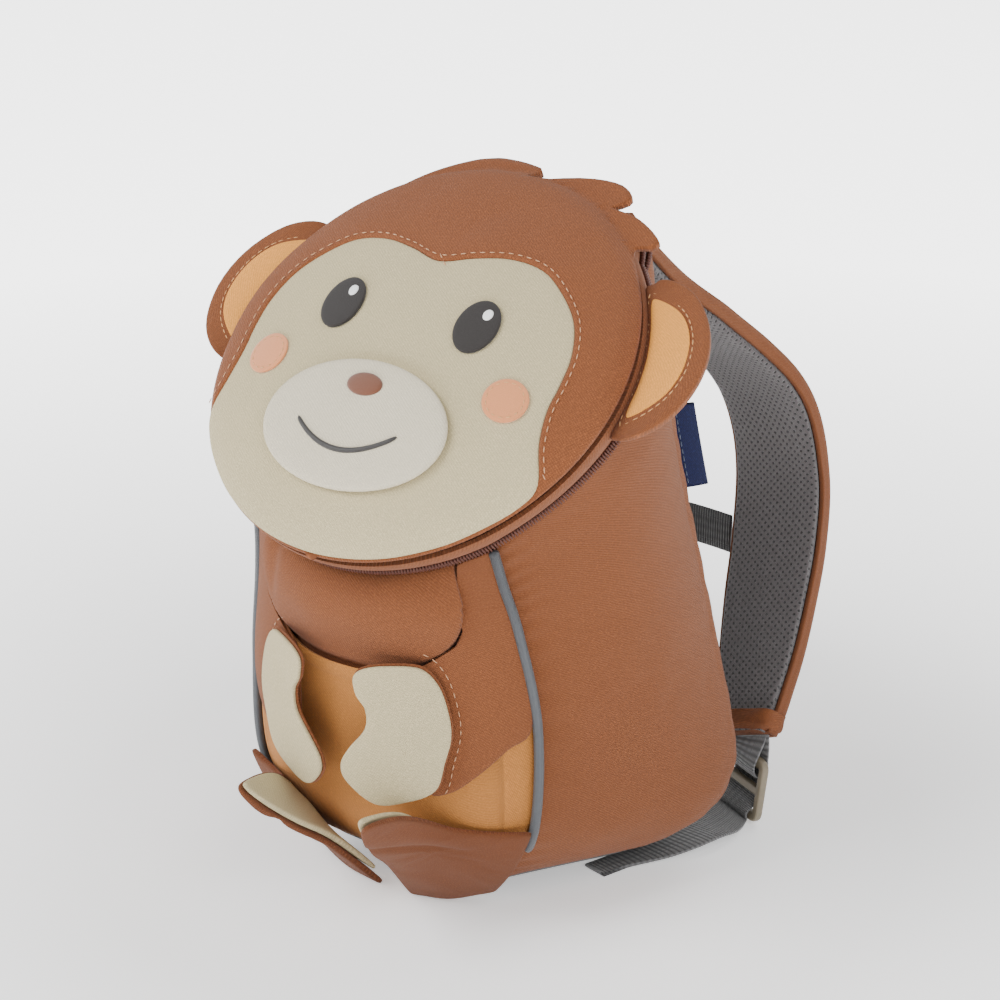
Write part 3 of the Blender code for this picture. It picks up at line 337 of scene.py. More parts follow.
def twill(name, colour, pitch=0.8, fleck=1.35, depth=0.62, relief=0.00016, sheen=0.06, rough=0.88):
    """Woven polyester: slanting ribs of single threads, a few paler threads, and a slow change of shade."""
    material, tree, shader = fresh_material(name)
    grain = node(tree, "ShaderNodeUVMap", uv_map="UVMap")
    slant = node(tree, "ShaderNodeMapping", grain.outputs[0], (0, 0, 0), (0, 0, math.radians(-52)))
    rib = node(tree, "ShaderNodeTexWave", slant.outputs[0], 0.314 / pitch, 1.2, 1.0, 0.6)
    cross = node(tree, "ShaderNodeMapping", grain.outputs[0], (0, 0, 0), (0, 0, math.radians(30)))
    thread = node(tree, "ShaderNodeTexWave", cross.outputs[0], 0.314 / (pitch * 0.7), 1.0, 1.0, 0.6)
    weave = node(tree, "ShaderNodeMath", rib.outputs["Fac"], thread.outputs["Fac"], operation="MULTIPLY")
    stretch = node(tree, "ShaderNodeMapping", slant.outputs[0], (0, 0, 0), (0, 0, 0), (1.0, 0.4, 1.0))
    strands = node(tree, "ShaderNodeTexNoise", stretch.outputs[0], None, 2.6, 2.0, 0.6)
    pale = node(tree, "ShaderNodeMapRange", strands.outputs["Fac"], 0.48, 0.75, 0.0, 0.7)
    cloud = node(tree, "ShaderNodeTexNoise", grain.outputs[0], None, 0.03, 2.0, 0.5)
    shadow = node(tree, "ShaderNodeMapRange", cloud.outputs["Fac"], 0.3, 0.7, 0.0, 1.0)
    base = mixed(tree, shadow.outputs[0], shade(colour, 0.93), shade(colour, 1.06))
    woven = mixed(tree, weave.outputs[0], shade(colour, depth), base)
    flecked = mixed(tree, pale.outputs[0], woven, shade(colour, fleck))
    tree.links.new(flecked, shader.inputs["Base Color"])
    raised(tree, shader, weave.outputs[0], 0.8, relief)
    shader.inputs["Roughness"].default_value = rough
    shader.inputs["Sheen Weight"].default_value = sheen
    shader.inputs["Sheen Roughness"].default_value = 0.6
    shader.inputs["Specular IOR Level"].default_value = 0.25
    return material


brown_twill = twill("brown_twill", (0.235, 0.074, 0.0235))


def side_place(u0, u1, puff, seed):
    """A panel of the pouch between two lines of u. It swells a little, and its seams are gathered."""

    def place(a, b):
        u, v = u0 + (u1 - u0) * a, 0.004 + 0.995 * b
        crown = (4 * a * (1 - a)) ** 0.45 * (4 * b * (1 - b)) ** 0.45
        from_seam = min(a, 1 - a) * abs(u1 - u0) * 260
        gather = 0.0003 * max(0.0, 1 - from_seam / 9) * math.sin(b * 118 + 3 * math.sin(b * 9))
        crease = 0.0011 * noise.noise(Vector((u * 3.1, v * 2.2, seed))) * crown
        return skin(u, v, puff * crown + gather + crease)

    return place


for sign, side in SIDES:
    place = side_place(sign * (SEAM_U + 0.003), sign * BACK_SEAM_U, 0.0004, 3.0 * sign)
    wall = panel(f"side_wall_{side}", 72, 110, place, CLOTH, [brown_twill], blow=0.0012)
    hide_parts(f"side_panel_{side}")

# Padded back
# The back is a foam pad under black-grey spacer mesh, quilted down along its edges where it is sewn to the
# side panels, so that the bag is soft against the wearer.


def spacer_mesh(name, colour, pitch=2.1):
    """Knitted spacer mesh: raised, slightly glossy threads round staggered holes darkened with painted shade.
    """
    material, tree, shader = fresh_material(name)
    grain = node(tree, "ShaderNodeUVMap", uv_map="UVMap")
    turned = node(tree, "ShaderNodeMapping", grain.outputs[0], None, (0, 0, math.radians(45)))
    turned.inputs["Scale"].default_value = (1 / pitch, 1 / pitch, 1 / pitch)
    cells = node(tree, "ShaderNodeVectorMath", turned.outputs[0], operation="FRACTION")
    centred = node(tree, "ShaderNodeVectorMath", cells.outputs[0], (0.5, 0.5, 0.0), operation="SUBTRACT")
    flat = node(tree, "ShaderNodeVectorMath", centred.outputs[0], (1, 1, 0), operation="MULTIPLY")
    reach = node(tree, "ShaderNodeVectorMath", flat.outputs[0], operation="LENGTH")
    open_share = node(tree, "ShaderNodeMapRange", reach.outputs["Value"], 0.20, 0.30, 0.0, 1.0)
    fine = node(tree, "ShaderNodeTexWave", grain.outputs[0], 0.9, 1.5, 1.0, 1.0)
    cloud = node(tree, "ShaderNodeTexNoise", grain.outputs[0], None, 0.05, 2.0, 0.5)
    threads = mixed(tree, fine.outputs["Fac"], shade(colour, 0.75), shade(colour, 1.5))
    worn = mixed(tree, cloud.outputs["Fac"], threads, shade(colour, 1.25))
    # The holes are near black: painted shade inside the mesh's openings
    holes = mixed(tree, open_share.outputs[0], shade(colour, 0.12), worn)
    tree.links.new(holes, shader.inputs["Base Color"])
    height = node(tree, "ShaderNodeMath", fine.outputs["Fac"], 0.25, open_share.outputs[0])
    height.operation = "MULTIPLY_ADD"
    raised(tree, shader, height.outputs[0], 1.0, 0.0006)
    shader.inputs["Roughness"].default_value = 0.7
    shader.inputs["Sheen Weight"].default_value = 0.3
    return material


grey_mesh = spacer_mesh("grey_spacer_mesh", (0.095, 0.083, 0.084))


def back_place(a, b):
    """The back's pad: full inside, cloth thin along its seams, with two quilted channels across it."""
    start = BACK_SEAM_U + 0.001
    u, v = start + (2 - 2 * start) * a, 0.001 + 0.995 * b
    edge = min(a, 1 - a)
    full = ease(edge, 0.0, 0.14) * ease(v, 0.0, 0.08) * (1 - ease(v, 0.92, 1.0))
    channel = sum(math.exp(-(((v - line) / 0.014) ** 2)) for line in (0.36, 0.68))
    return skin(u, v, (BACK_PAD - CLOTH) * full * (1 - 0.45 * channel))


back_pad = panel("back_pad", 70, 110, back_place, CLOTH, [grey_mesh], blow=0.0006)
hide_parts("back_panel")

# Bottom
# A tray of stiff grey pack cloth closes the bag below. It lies flat where the bag rests and turns up to the
# seam all round, where it is sewn to the sides, the pocket and the back.
BOTTOM_CLOTH = 0.0022
SEAM_GAP = 0.0003
TRAY_MIDDLE = Vector((0, BACK_Y - BODY_DEPTH * 0.34, 0))
TRAY = ((0.0, 0.0), (0.25, 0.0), (0.58, 0.0), (0.72, 0.16), (0.84, 0.42), (0.93, 0.74), (0.985, 1.0))


def tray_place(a, b):
    share, height = between(TRAY, b)
    edge = pouch(2 * a, 0.0)
    flat = TRAY_MIDDLE + (Vector((edge.x, edge.y, 0)) - TRAY_MIDDLE) * max(share, 0.0)
    return flat + Vector((0, 0, max(0.0, (edge.z - SEAM_GAP) * height)))


def tray_grain(a, b):
    at = tray_place(a, b)
    return at.x * 1000, at.y * 1000


def walled(piece, thickness):
    """Gives a sheet its wall, inwards from its outer face."""
    wall = piece.modifiers.new("cloth", "SOLIDIFY")
    wall.thickness = thickness
    wall.offset = -1.0


grey_cloth = twill("grey_pack_cloth", (0.075, 0.075, 0.078), pitch=0.7, fleck=1.8, sheen=0.15)
tray = panel("bottom_tray", 140, 36, tray_place, 0, [grey_cloth], grain=tray_grain, weld=True)
walled(tray, BOTTOM_CLOTH)
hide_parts("bottom_panel")

# Front wall
# The front wall of brown twill is sewn into the piped seams. It lies flat behind the belly pocket and is
# stuffed out above it, where it shows in the pocket's mouth as the animal's chest.
MOUTH_LOW, MOUTH_SIDE, MOUTH_ROUND = 0.62, 0.76, 3.6
POCKET_DEPTH = 0.012
CHEST_RISE = 0.006


def mouth(u):
    """How far up the skin the pocket's cloth reaches."""
    share = abs(u) / SEAM_U / MOUTH_SIDE
    if share >= 1:
        return 1.0
    return 1 - (1 - MOUTH_LOW) * (1 - share**MOUTH_ROUND) ** (1 / MOUTH_ROUND)


def chest_height(u, v):
    """The front wall: sunk behind the pocket, puffed out as the chest in the pocket's mouth."""
    roundness = math.sqrt(max(0.0, 1 - (u / SEAM_U) ** 2)) * ease(v, 0.0, 0.2)
    sunk = -CLOTH - SEAM_GAP * 2 - POCKET_DEPTH * roundness * (1 - ease(v, 0.8, 1.0))
    up_chest = min(1.0, max(0.0, (v - MOUTH_LOW) / (1 - MOUTH_LOW)))
    chest = CHEST_RISE * math.sin(math.pi * up_chest) ** 0.6 * roundness
    closed = 1 - ease(abs(u) / SEAM_U / MOUTH_SIDE, 0.985, 1.0)
    behind = sunk + (-CLOTH - SEAM_GAP - sunk) * ease(v - mouth(u), -0.09, -0.03)
    return behind + (chest - behind) * ease(v - mouth(u), -0.006, 0.020) * closed


def front_place(a, b):
    u, v = (2 * a - 1) * (SEAM_U - 0.003), 0.004 + 0.992 * b
    crease = 0.0008 * noise.noise(Vector((u * 9, v * 7, 5.0)))
    fold = 0.0011 * math.exp(-(((u + 0.17 + 0.05 * v) / 0.02) ** 2)) * ease(v, 0.66, 0.78)
    return skin(u, v, chest_height(u, v) + crease - fold)


front_wall = panel("front_wall", 110, 150, front_place, 0, [brown_twill])
walled(front_wall, CLOTH)
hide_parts("front_panel")

# Belly pocket
# A pocket of apricot twill covers the belly. Its mouth is a deep U with a turned hem, and its sides and
# bottom are sewn into the piped seams.


def belly_height(u, v):
    """How far the pocket's cloth stands off its plain skin."""
    across = abs(u) / SEAM_U
    soft = 0.0006 * noise.noise(Vector((u * 7, v * 6, 1.0)))
    return (0.0003 + soft) * (1 - across**4) * ease(v, 0.0, 0.1)


def pocket_place(a, b):
    u = (2 * a - 1) * (SEAM_U - 0.003)
    low, high = 0.004, mouth(u) - 0.004
    v = low + (high - low) * b
    hem = 0.0006 * ease(b, 0.955, 0.965) * (1 - 0.7 * ease(b, 0.992, 1.0))
    return skin(u, v, belly_height(u, v) + hem)


# The belly's twill is the ears' apricot twill darkened: painted shade under the head and chest
apricot_twill_painted_shade = twill("apricot_twill_painted_shade", (0.52, 0.205, 0.045), fleck=1.2, depth=0.70)
pocket = panel("belly_pocket_front", 110, 120, pocket_place, CLOTH, [apricot_twill_painted_shade])
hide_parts("belly_pocket")


def thread(name, colour, sheen=0.2):
    """Sewing thread: twisted, slightly glossy."""
    material, tree, shader = fresh_material(name)
    place = node(tree, "ShaderNodeTexCoord")
    cloud = node(tree, "ShaderNodeTexNoise", place.outputs["Object"], None, 900.0, 2.0, 0.6)
    mix = mixed(tree, cloud.outputs["Fac"], shade(colour, 0.7), shade(colour, 1.25))
    tree.links.new(mix, shader.inputs["Base Color"])
    raised(tree, shader, cloud.outputs["Fac"], 0.5, 0.0001)
    shader.inputs["Roughness"].default_value = 0.55
    shader.inputs["Sheen Weight"].default_value = sheen
    return material


def stitches(name, path, material, pitch=0.0033, length=0.0024, width=0.00048):
    """A row of stitches along a path of points, each with the cloth's outward direction."""
    bm = bmesh.new()
    lengths = [0.0]
    for (p, _), (q, _) in zip(path, path[1:]):
        lengths.append(lengths[-1] + (q - p).length)
    place, i = pitch / 2, 0
    while place < lengths[-1]:
        while lengths[i + 1] < place:
            i += 1
        (p, out), (q, _) = path[i], path[i + 1]
        along = (q - p).normalized()
        share = (place - lengths[i]) / max(lengths[i + 1] - lengths[i], 1e-9)
        side = out.cross(along).normalized()
        turn = Matrix((along, side, along.cross(side))).transposed().to_4x4()
        size = Matrix.Diagonal((length, width, width * 0.8, 1))
        at = Matrix.Translation(p.lerp(q, share)) @ turn @ size
        bmesh.ops.create_icosphere(bm, subdivisions=1, radius=0.5, matrix=at)
        place += pitch
    bmesh.ops.recalc_face_normals(bm, faces=bm.faces)
    return finish(name, bm, [material], 180)


def span(start, end, count):
    return [start + (end - start) * i / count for i in range(count + 1)]


ochre_thread = thread("ochre_thread", (0.60, 0.30, 0.11))
tan_thread = thread("tan_thread", (0.50, 0.25, 0.12))
HEM_STITCH_DROP = 0.022
hem_path = []
for u in span(-SEAM_U * 0.27, SEAM_U * 0.25, 80):
    v = mouth(u) - HEM_STITCH_DROP
    hem_path.append((skin(u, v, 0.0006), out_of(pouch, u, v)))
stitches("pocket_hem_stitches", hem_path, ochre_thread)

# Piping
# A cord wrapped in grey reflective cloth is caught in each front seam, and stands proud of it from the
# bottom to the lid.
PIPING_RADIUS = 0.0017
PIPING_START, PIPING_END = 0.262, 0.994


def round_end(near):
    """How full a rounded end is: 0 at its tip, 1 where it is past its length."""
    return math.sqrt(max(0.0, 1 - (1 - near) ** 2)) if near < 1 else 1.0


def tube_place(path, radius, low=0.0, high=1.0, taper=0.03):
    """Wraps a grid round a path; the tube closes to a point at its two ends."""

    def place(a, b):
        t = low + (high - low) * b
        p, along = path(t), (path(t + 0.004) - path(t - 0.004)).normalized()
        first = along.cross(Vector((0, 1, 0))).normalized()
        second = along.cross(first)
        r = radius * round_end(min(b, 1 - b) / taper)
        angle = 2 * math.pi * a
        return p + (first * math.cos(angle) + second * math.sin(angle)) * r

    return place


def cord_cloth(name, colour, rough=0.35):
    """Close woven reflective cloth: silvery, with a fine cross grain and scuffs."""
    material, tree, shader = fresh_material(name)
    grain = node(tree, "ShaderNodeUVMap", uv_map="UVMap")
    rib = node(tree, "ShaderNodeTexWave", grain.outputs[0], 0.9, 0.6, 1.0, 0.5, bands_direction="Y")
    scuff = node(tree, "ShaderNodeTexNoise", grain.outputs[0], None, 0.35, 3.0, 0.6)
    soft = mixed(tree, scuff.outputs["Fac"], shade(colour, 0.72), shade(colour, 1.25))
    ribbed = mixed(tree, rib.outputs["Fac"], shade(colour, 0.7), soft)
    tree.links.new(ribbed, shader.inputs["Base Color"])
    raised(tree, shader, rib.outputs["Fac"], 0.7, 0.00012)
    shader.inputs["Roughness"].default_value = rough
    shader.inputs["Metallic"].default_value = 0.25
    shader.inputs["Sheen Weight"].default_value = 0.1
    return material


reflective_cord = cord_cloth("reflective_cord", (0.10, 0.108, 0.120))
for sign, side in SIDES:

    def seam_line(t, sign=sign):
        return skin(sign * SEAM_U, min(max(t, 0.0), 1.0), PIPING_RADIUS + SEAM_GAP)

    place = tube_place(seam_line, PIPING_RADIUS, PIPING_START, PIPING_END)
    grain_up = (lambda a, b: (a * 10.7, b * 160))
    cord = panel(f"piping_cord_{side}", 16, 120, place, 0, [reflective_cord], grain=grain_up, weld=True)
    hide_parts(f"piping_{side}")

# Arms and hands
# Flat brown arms are sewn on the pocket. Each ends in a beige hand with a brown back, a stuffed flap that
# is held by its outer edge and stands off the belly at its inner edge.
ARM_EDGE = [(a, mouth(a * SEAM_U) - 0.001) for a in (0.758, 0.748, 0.728, 0.69, 0.63, 0.56, 0.48, 0.40)]
ARM_OUTLINE = (
    (0.90, 0.995), (0.775, 0.985), (0.764, 0.94), *ARM_EDGE, (0.32, 0.61),
    (0.28, 0.50), (0.36, 0.405), (0.48, 0.405), (0.62, 0.435), (0.80, 0.475), (0.965, 0.505), (0.975, 0.64),
    (0.975, 0.82), (0.975, 0.985),
)
HAND_OUTLINE = (
    (0.146, 0.644), (0.244, 0.662), (0.425, 0.653), (0.509, 0.613), (0.537, 0.559), (0.532, 0.514),
    (0.49, 0.469), (0.434, 0.419), (0.295, 0.397), (0.165, 0.392), (0.062, 0.428), (0.044, 0.46),
    (0.09, 0.496), (0.169, 0.536), (0.178, 0.572), (0.141, 0.604),
)
ARM_THICKNESS = 0.0016
HAND_THICKNESS = 0.0030
HAND_LIFT = 0.011


def around(outline, t):
    """The point at t, 0 to 1, on a smooth closed curve through an outline."""
    count = len(outline)
    place = (t % 1.0) * count
    i = int(place)
    four = [outline[(i + j - 1) % count] for j in range(4)]
    return between(four, (1 + place - i) / 3)


def blunt(value, power):
    """Swells a wave from -1 to 1 towards a square one, and keeps its sign."""
    return math.copysign(abs(value) ** power, value)


def middle_of(outline):
    return [sum(p[k] for p in outline) / len(outline) for k in (0, 1)]


def pillow(
    name, outline, place, low, high, material, grain,
    full=0.45, around_count=96, rings=24, centre=None, blow=0.0,
):
    """A stuffed or padded patch: a ball flattened into an outline, with place(a, b, height) laying it."""
    bm = bmesh.new()
    bmesh.ops.create_uvsphere(bm, u_segments=around_count, v_segments=rings, radius=1.0)
    middle = centre or middle_of(outline)
    layer = bm.loops.layers.uv.new("UVMap")
    cut, hems = {}, []
    for vert in bm.verts:
        share = math.hypot(vert.co.x, vert.co.y)
        hems.append(ease(share, 0.75, 1.0))
        turn = math.atan2(vert.co.y, vert.co.x) / (2 * math.pi)
        edge = around(outline, turn)
        a, b = (middle[k] + (edge[k] - middle[k]) * share for k in (0, 1))
        rise = blunt(vert.co.z, full)
        cut[vert] = (a * grain[0], b * grain[1])
        vert.co = place(a, b, (low + high) / 2 + (high - low) / 2 * rise)
    for face in bm.faces:
        for loop in face.loops:
            loop[layer].uv = cut[loop.vert]
    bmesh.ops.recalc_face_normals(bm, faces=bm.faces)
    if blow:
        blown(bm, hems, blow)
    return finish(name, bm, [material], 180)


def shrunk(outline, share):
    """An outline drawn in or let out about its middle."""
    middle = middle_of(outline)
    return [tuple(middle[k] + (p[k] - middle[k]) * share for k in (0, 1)) for p in outline]


def outline_path(outline, place, height, share, start=0.0, end=1.0, count=160):
    """A path just inside or outside an outline, with the outward direction of what it is laid on."""
    ring = shrunk(outline, share)
    path = []
    for t in span(start, end, count):
        a, b = around(ring, t)
        p = place(a, b, height)
        path.append((p, (place(a, b, height + 0.001) - p).normalized()))
    return path


beige_twill = twill("beige_twill", (0.57, 0.485, 0.285), fleck=1.2, depth=0.74, relief=0.00014)
beige_thread = thread("beige_thread", (0.56, 0.48, 0.34))


def on_belly(sign, lift):
    """Lays a pad on the pocket: a across towards the piping, b up the skin, its inner edge standing off."""

    def place(a, b, height):
        off = lift * (1 - ease(a, -0.12, 0.62)) * (0.7 + 0.3 * ease(b, 0.35, 0.65))
        return skin(sign * a * SEAM_U, b, height + off)

    return place


for sign, side in SIDES:
    flat, off = on_belly(sign, 0.0), on_belly(sign, HAND_LIFT)
    grain = (62.0 * sign, 190.0)
    low = SEAM_GAP * 3
    arm = pillow(f"arm_{side}_cloth", ARM_OUTLINE, flat, low, low + ARM_THICKNESS, brown_twill, grain, 0.3)
    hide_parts(f"arm_{side}")
    path = outline_path(HAND_OUTLINE, flat, low + ARM_THICKNESS + 0.0002, 1.13, 0.12, 0.43)
    stitches(f"arm_stitches_{side}", path, tan_thread)
    low = SEAM_GAP * 4 + ARM_THICKNESS
    back = pillow(
        f"hand_{side}_back", HAND_OUTLINE, off, low, low + HAND_THICKNESS * 0.55, brown_twill, grain, 0.35
    )
    palm = pillow(
        f"hand_{side}_palm", shrunk(HAND_OUTLINE, 0.975), off, low + HAND_THICKNESS * 0.35,
        low + HAND_THICKNESS * 1.1, beige_twill, grain, 0.4, blow=0.0006,
    )
    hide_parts(f"hand_{side}")

# Legs and feet
# Each leg is a stuffed flap of brown twill sewn into the bottom seam, with a beige sole. The feet turn
# outwards and stand free, which steadies the bag.
FOOT_LENGTH = 0.080
FOOT_THICKNESS = 0.0035
SOLE_CLOTH = 0.0012
HEEL_LINE = -0.535
TOE_CROWN = 0.0045
LEG_LINES = (
    ((0.069, -0.018, 0.019), (0.24, -0.037, 0.037), (0.411, -0.087, 0.113)),
    ((0.126, 0.251, 0.3), (0.274, 0.101, 0.237), (0.491, -0.037, 0.2)),
    ((0.177, 0.439, 0.45), (0.309, 0.176, 0.375), (0.56, -0.005, 0.3)),
    ((0.229, 0.589, 0.588), (0.343, 0.226, 0.463), (0.611, 0.02, 0.4)),
    ((0.279, 0.689, 0.7), (0.377, 0.232, 0.519), (0.651, 0.032, 0.5)),
)
LEG_OUTLINE = (
    (0.0, 0.0), (0.0, 0.25), (0.0, 0.5), (0.0, 0.72), (0.02, 0.88), (0.10, 0.98), (0.22, 1.0), (0.4, 0.99),
    (0.6, 0.98), (0.8, 0.98), (1.0, 1.0), (1.0, 0.75), (1.0, 0.5), (1.0, 0.25), (1.0, 0.0), (0.75, 0.0),
    (0.5, 0.0), (0.25, 0.0),
)
SOLE_OUTLINE = (
    (0.03, 0.08), (0.02, 0.3), (0.02, 0.5), (0.02, 0.72), (0.025, 0.88), (0.07, 0.97), (0.17, 0.975),
    (0.30, 0.93), (0.42, 0.82), (0.48, 0.66), (0.49, 0.50), (0.45, 0.32), (0.34, 0.16), (0.16, 0.07),
)


def leg_sheet(sign, a, b):
    """The leg's sheet: a from its inner edge to the side seam, b from heel to toe."""
    lines = [between([row[k] for row in LEG_LINES], b) for k in range(3)]
    x, forward, up = between(lines, a)
    y = HEEL_LINE * BODY_DEPTH - forward * FOOT_LENGTH + DEPTH_SHIFT
    crown = TOE_CROWN * math.exp(-(((a - 0.30) / 0.20) ** 2)) * ease(b, 0.6, 1.0)
    return Vector((sign * x * HALF_WIDTH, y, up * FOOT_LENGTH + crown))


def on_leg(sign):
    def place(a, b, height):
        small = 0.02
        out = leg_sheet(sign, min(a + small, 1.0), b) - leg_sheet(sign, max(a - small, 0.0), b)
        rise = leg_sheet(sign, a, min(b + small, 1.0)) - leg_sheet(sign, a, max(b - small, 0.0))
        line = b - 0.60 - 0.10 * a
        fold = 0.0013 * math.exp(-((line / 0.045) ** 2)) - 0.0008 * math.exp(-(((line - 0.13) / 0.10) ** 2))
        fold *= (1 - ease(a, 0.45, 0.75)) * ease(height, 0.0, FOOT_THICKNESS)
        return leg_sheet(sign, a, b) + out.cross(rise).normalized() * sign * (height - fold)

    return place


# The legs' twill is the brown twill darkened: painted shade on feet that face down and away from the lamps
leg_twill_painted_shade = twill("leg_twill_painted_shade", (0.185, 0.057, 0.0185))
for sign, side in SIDES:
    place = on_leg(sign)
    grain = (60.0 * sign, 75.0)
    leg = pillow(
        f"leg_{side}_cloth", LEG_OUTLINE, place, 0.0, FOOT_THICKNESS, leg_twill_painted_shade, grain, 0.5, 128, 44,
        blow=0.0004,
    )
    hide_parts(f"leg_{side}")
    low = -SEAM_GAP * 4 - SOLE_CLOTH
    sole = pillow(f"sole_{side}_cloth", SOLE_OUTLINE, place, low, SEAM_GAP * 2, beige_twill, grain, 0.45)
    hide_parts(f"sole_{side}")

# Lid band and zip
# The head is the bag's lid. Its brown band is closed to the pouch by a zip with a reddish brown coil, and
# hangs at the top of the back on a plain cloth hinge.
LID_WIDTH, LID_LENGTH = 0.151, 0.154
LID_DOME, LID_WALL = 0.016, 0.0026
BAND_HEIGHT, ZIP_HEIGHT = 0.010, 0.004
BAND_WALL, ZIP_WALL = 0.0018, 0.0024
SLOPE_UP = Vector((0, math.cos(SLOPE), math.sin(SLOPE)))
SLOPE_OUT = Vector((0, -math.sin(SLOPE), math.cos(SLOPE)))
LID_BACK = Vector((0, BACK_Y, BODY_HEIGHT))
RIM_OFFSET = SLOPE_OUT.dot(LID_BACK) + ZIP_HEIGHT + BAND_HEIGHT
LID_MIDDLE = SLOPE_UP.dot(LID_BACK) - LID_LENGTH / 2
HINGE_HALF = math.radians(32)


def on_lid(x, s, height):
    """A point of the lid's plane: s climbs the slope, height is measured out from the rim."""
    return Vector((x, 0, 0)) + SLOPE_UP * s + SLOPE_OUT * (RIM_OFFSET + height)


def rim(angle, share=1.0):
    """x and s on the lid's rim, or inside it, at an angle from the top."""
    return share * LID_WIDTH / 2 * math.sin(angle), LID_MIDDLE + share * LID_LENGTH / 2 * math.cos(angle)


def seen_angle(u):
    p = pouch(u, 1.0)
    return math.atan2(p.x / LID_WIDTH, (SLOPE_UP.dot(p) - LID_MIDDLE) / LID_LENGTH)


RING = [(seen_angle(k / 720), k / 720) for k in range(721)]


def ring_u(angle):
    """The place along the pouch's top edge that lies at an angle from the lid's top."""
    low, high = 0, len(RING) - 1
    while high - low > 1:
        mid = (low + high) // 2
        if RING[mid][0] > abs(angle):
            low = mid
        else:
            high = mid
    (a, u), (b, w) = RING[low], RING[high]
    return math.copysign(u + (w - u) * (abs(angle) - a) / (b - a), angle)


def band_point(angle, up, height):
    """The wall between pouch and lid: up runs from the pouch's edge (0) to the lid's rim (1)."""
    angle = (angle + math.pi) % (2 * math.pi) - math.pi
    u = ring_u(angle)
    edge = pouch(u, 1.0)
    x, s = rim(angle)
    body_out = out_of(pouch, u, 1.0)
    rim_out = (Vector((x / LID_WIDTH, 0, 0)) + SLOPE_UP * (s - LID_MIDDLE) / LID_LENGTH).normalized()
    return edge.lerp(on_lid(x, s, 0.0), up) + body_out.lerp(rim_out, up).normalized() * height


def strip(low, high, start, end, height):
    def place(a, b):
        return band_point(start + (end - start) * a, low + (high - low) * b, height(a, b))

    return place


WHOLE = BAND_HEIGHT + ZIP_HEIGHT
JOINT = ZIP_HEIGHT / WHOLE
GAP = SEAM_GAP / WHOLE
zip_cloth = twill("zip_cloth", (0.075, 0.024, 0.012), pitch=0.6, fleck=1.5, depth=0.5)
band_shape = strip(
    JOINT + GAP, 1 - GAP, -math.pi, math.pi, lambda a, b: 0.0009 * math.sin(math.pi * b) - 0.0005 * b**6
)
band = panel("lid_band_cloth", 240, 12, band_shape, BAND_WALL, [brown_twill], weld=True)
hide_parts("lid_band")
start, end = HINGE_HALF + 0.004, 2 * math.pi - HINGE_HALF - 0.004
tape = panel(
    "zip_tape", 220, 6, strip(GAP, JOINT - GAP, start, end, lambda a, b: 0.0003), ZIP_WALL, [zip_cloth]
)
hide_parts("zip_band")
hinge_shape = strip(GAP, JOINT - GAP, -HINGE_HALF, HINGE_HALF, lambda a, b: 0.0004 * math.sin(math.pi * b))
hinge = panel("hinge_cloth", 60, 8, hinge_shape, BAND_WALL, [brown_twill])
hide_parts("lid_hinge")

coil_nylon = thread("zip_coil_nylon", (0.085, 0.020, 0.009), sheen=0.0)
COIL_PITCH, COIL_LIFT, COIL_POINTS = 0.00105, 0.0011, 900
for row, up in (("lower", JOINT * 0.42), ("upper", JOINT * 1.28)):
    path = []
    for k in range(COIL_POINTS + 1):
        angle = start + (end - start) * k / COIL_POINTS
        p = band_point(angle, up, COIL_LIFT)
        path.append((p, (band_point(angle, up, 0.003) - p).normalized()))
    coil = stitches(f"zip_coil_{row}", path, coil_nylon, pitch=COIL_PITCH, length=0.00086, width=0.0026)

# Head
# The lid's domed top is brown twill over foam. It is sewn over the beige face like a hood of hair, and its
# top edge is cut in three tufts that stick out past the lid.
TUFT_LENGTH = 0.010
TUFT_ROOT = 0.96

# Angles round the lid from its top, in degrees, with how far the hair reaches there as a share of a tuft
TUFTS = (
    (-35, 0.0), (-27.1, 0.31), (-18.9, 0.60), (-13.9, 0.64), (-5.8, 0.52), (1.6, 0.38), (3.0, -0.20),
    (5.4, -0.20), (6.6, 0.02), (8.8, 0.35), (11.0, 0.75), (13.2, 1.0), (15.5, 1.18), (18.5, 1.2),
    (21.9, 1.03), (23.9, 0.75), (25.0, 0.31), (26.0, 0.36), (29.1, 0.77), (31.5, 0.88), (34.0, 0.97),
    (36.8, 1.02), (39.5, 0.76), (41.4, 0.2), (46.0, 0.04), (52, 0.0),
)
FACE_OUTLINE = (
    (0.0, 0.357), (0.16, 0.403), (0.32, 0.435), (0.48, 0.416), (0.61, 0.33), (0.715, 0.214), (0.77, 0.07),
    (0.78, -0.07), (0.775, -0.19), (0.795, -0.33), (0.835, -0.475), (0.79, -0.58), (0.685, -0.70),
    (0.545, -0.815), (0.365, -0.91), (0.187, -0.962), (0.0, -0.98),
)
FACE_RING = list(FACE_OUTLINE) + [(-x, s) for x, s in reversed(FACE_OUTLINE[1:-1])]
FACE_MIDDLE = (0.0, -0.2)
HAIR_STEP = 0.0016
HAIR_WALL = 0.0024


def dome(x, s):
    q = math.hypot(x / (LID_WIDTH / 2), (s - LID_MIDDLE) / (LID_LENGTH / 2))
    return LID_DOME * max(0.0, 1 - q**2.3) ** 0.62


def on_head(a, b, height):
    """A point over the dome, a and b as shares of the lid's half width and half length from its middle."""
    x, s = a * LID_WIDTH / 2, LID_MIDDLE + b * LID_LENGTH / 2
    small = LID_WIDTH * 0.004
    across = on_lid(x + small, s, dome(x + small, s)) - on_lid(x - small, s, dome(x - small, s))
    rise = on_lid(x, s + small, dome(x, s + small)) - on_lid(x, s - small, dome(x, s - small))
    return on_lid(x, s, LID_WALL + dome(x, s)) + across.cross(rise).normalized() * height


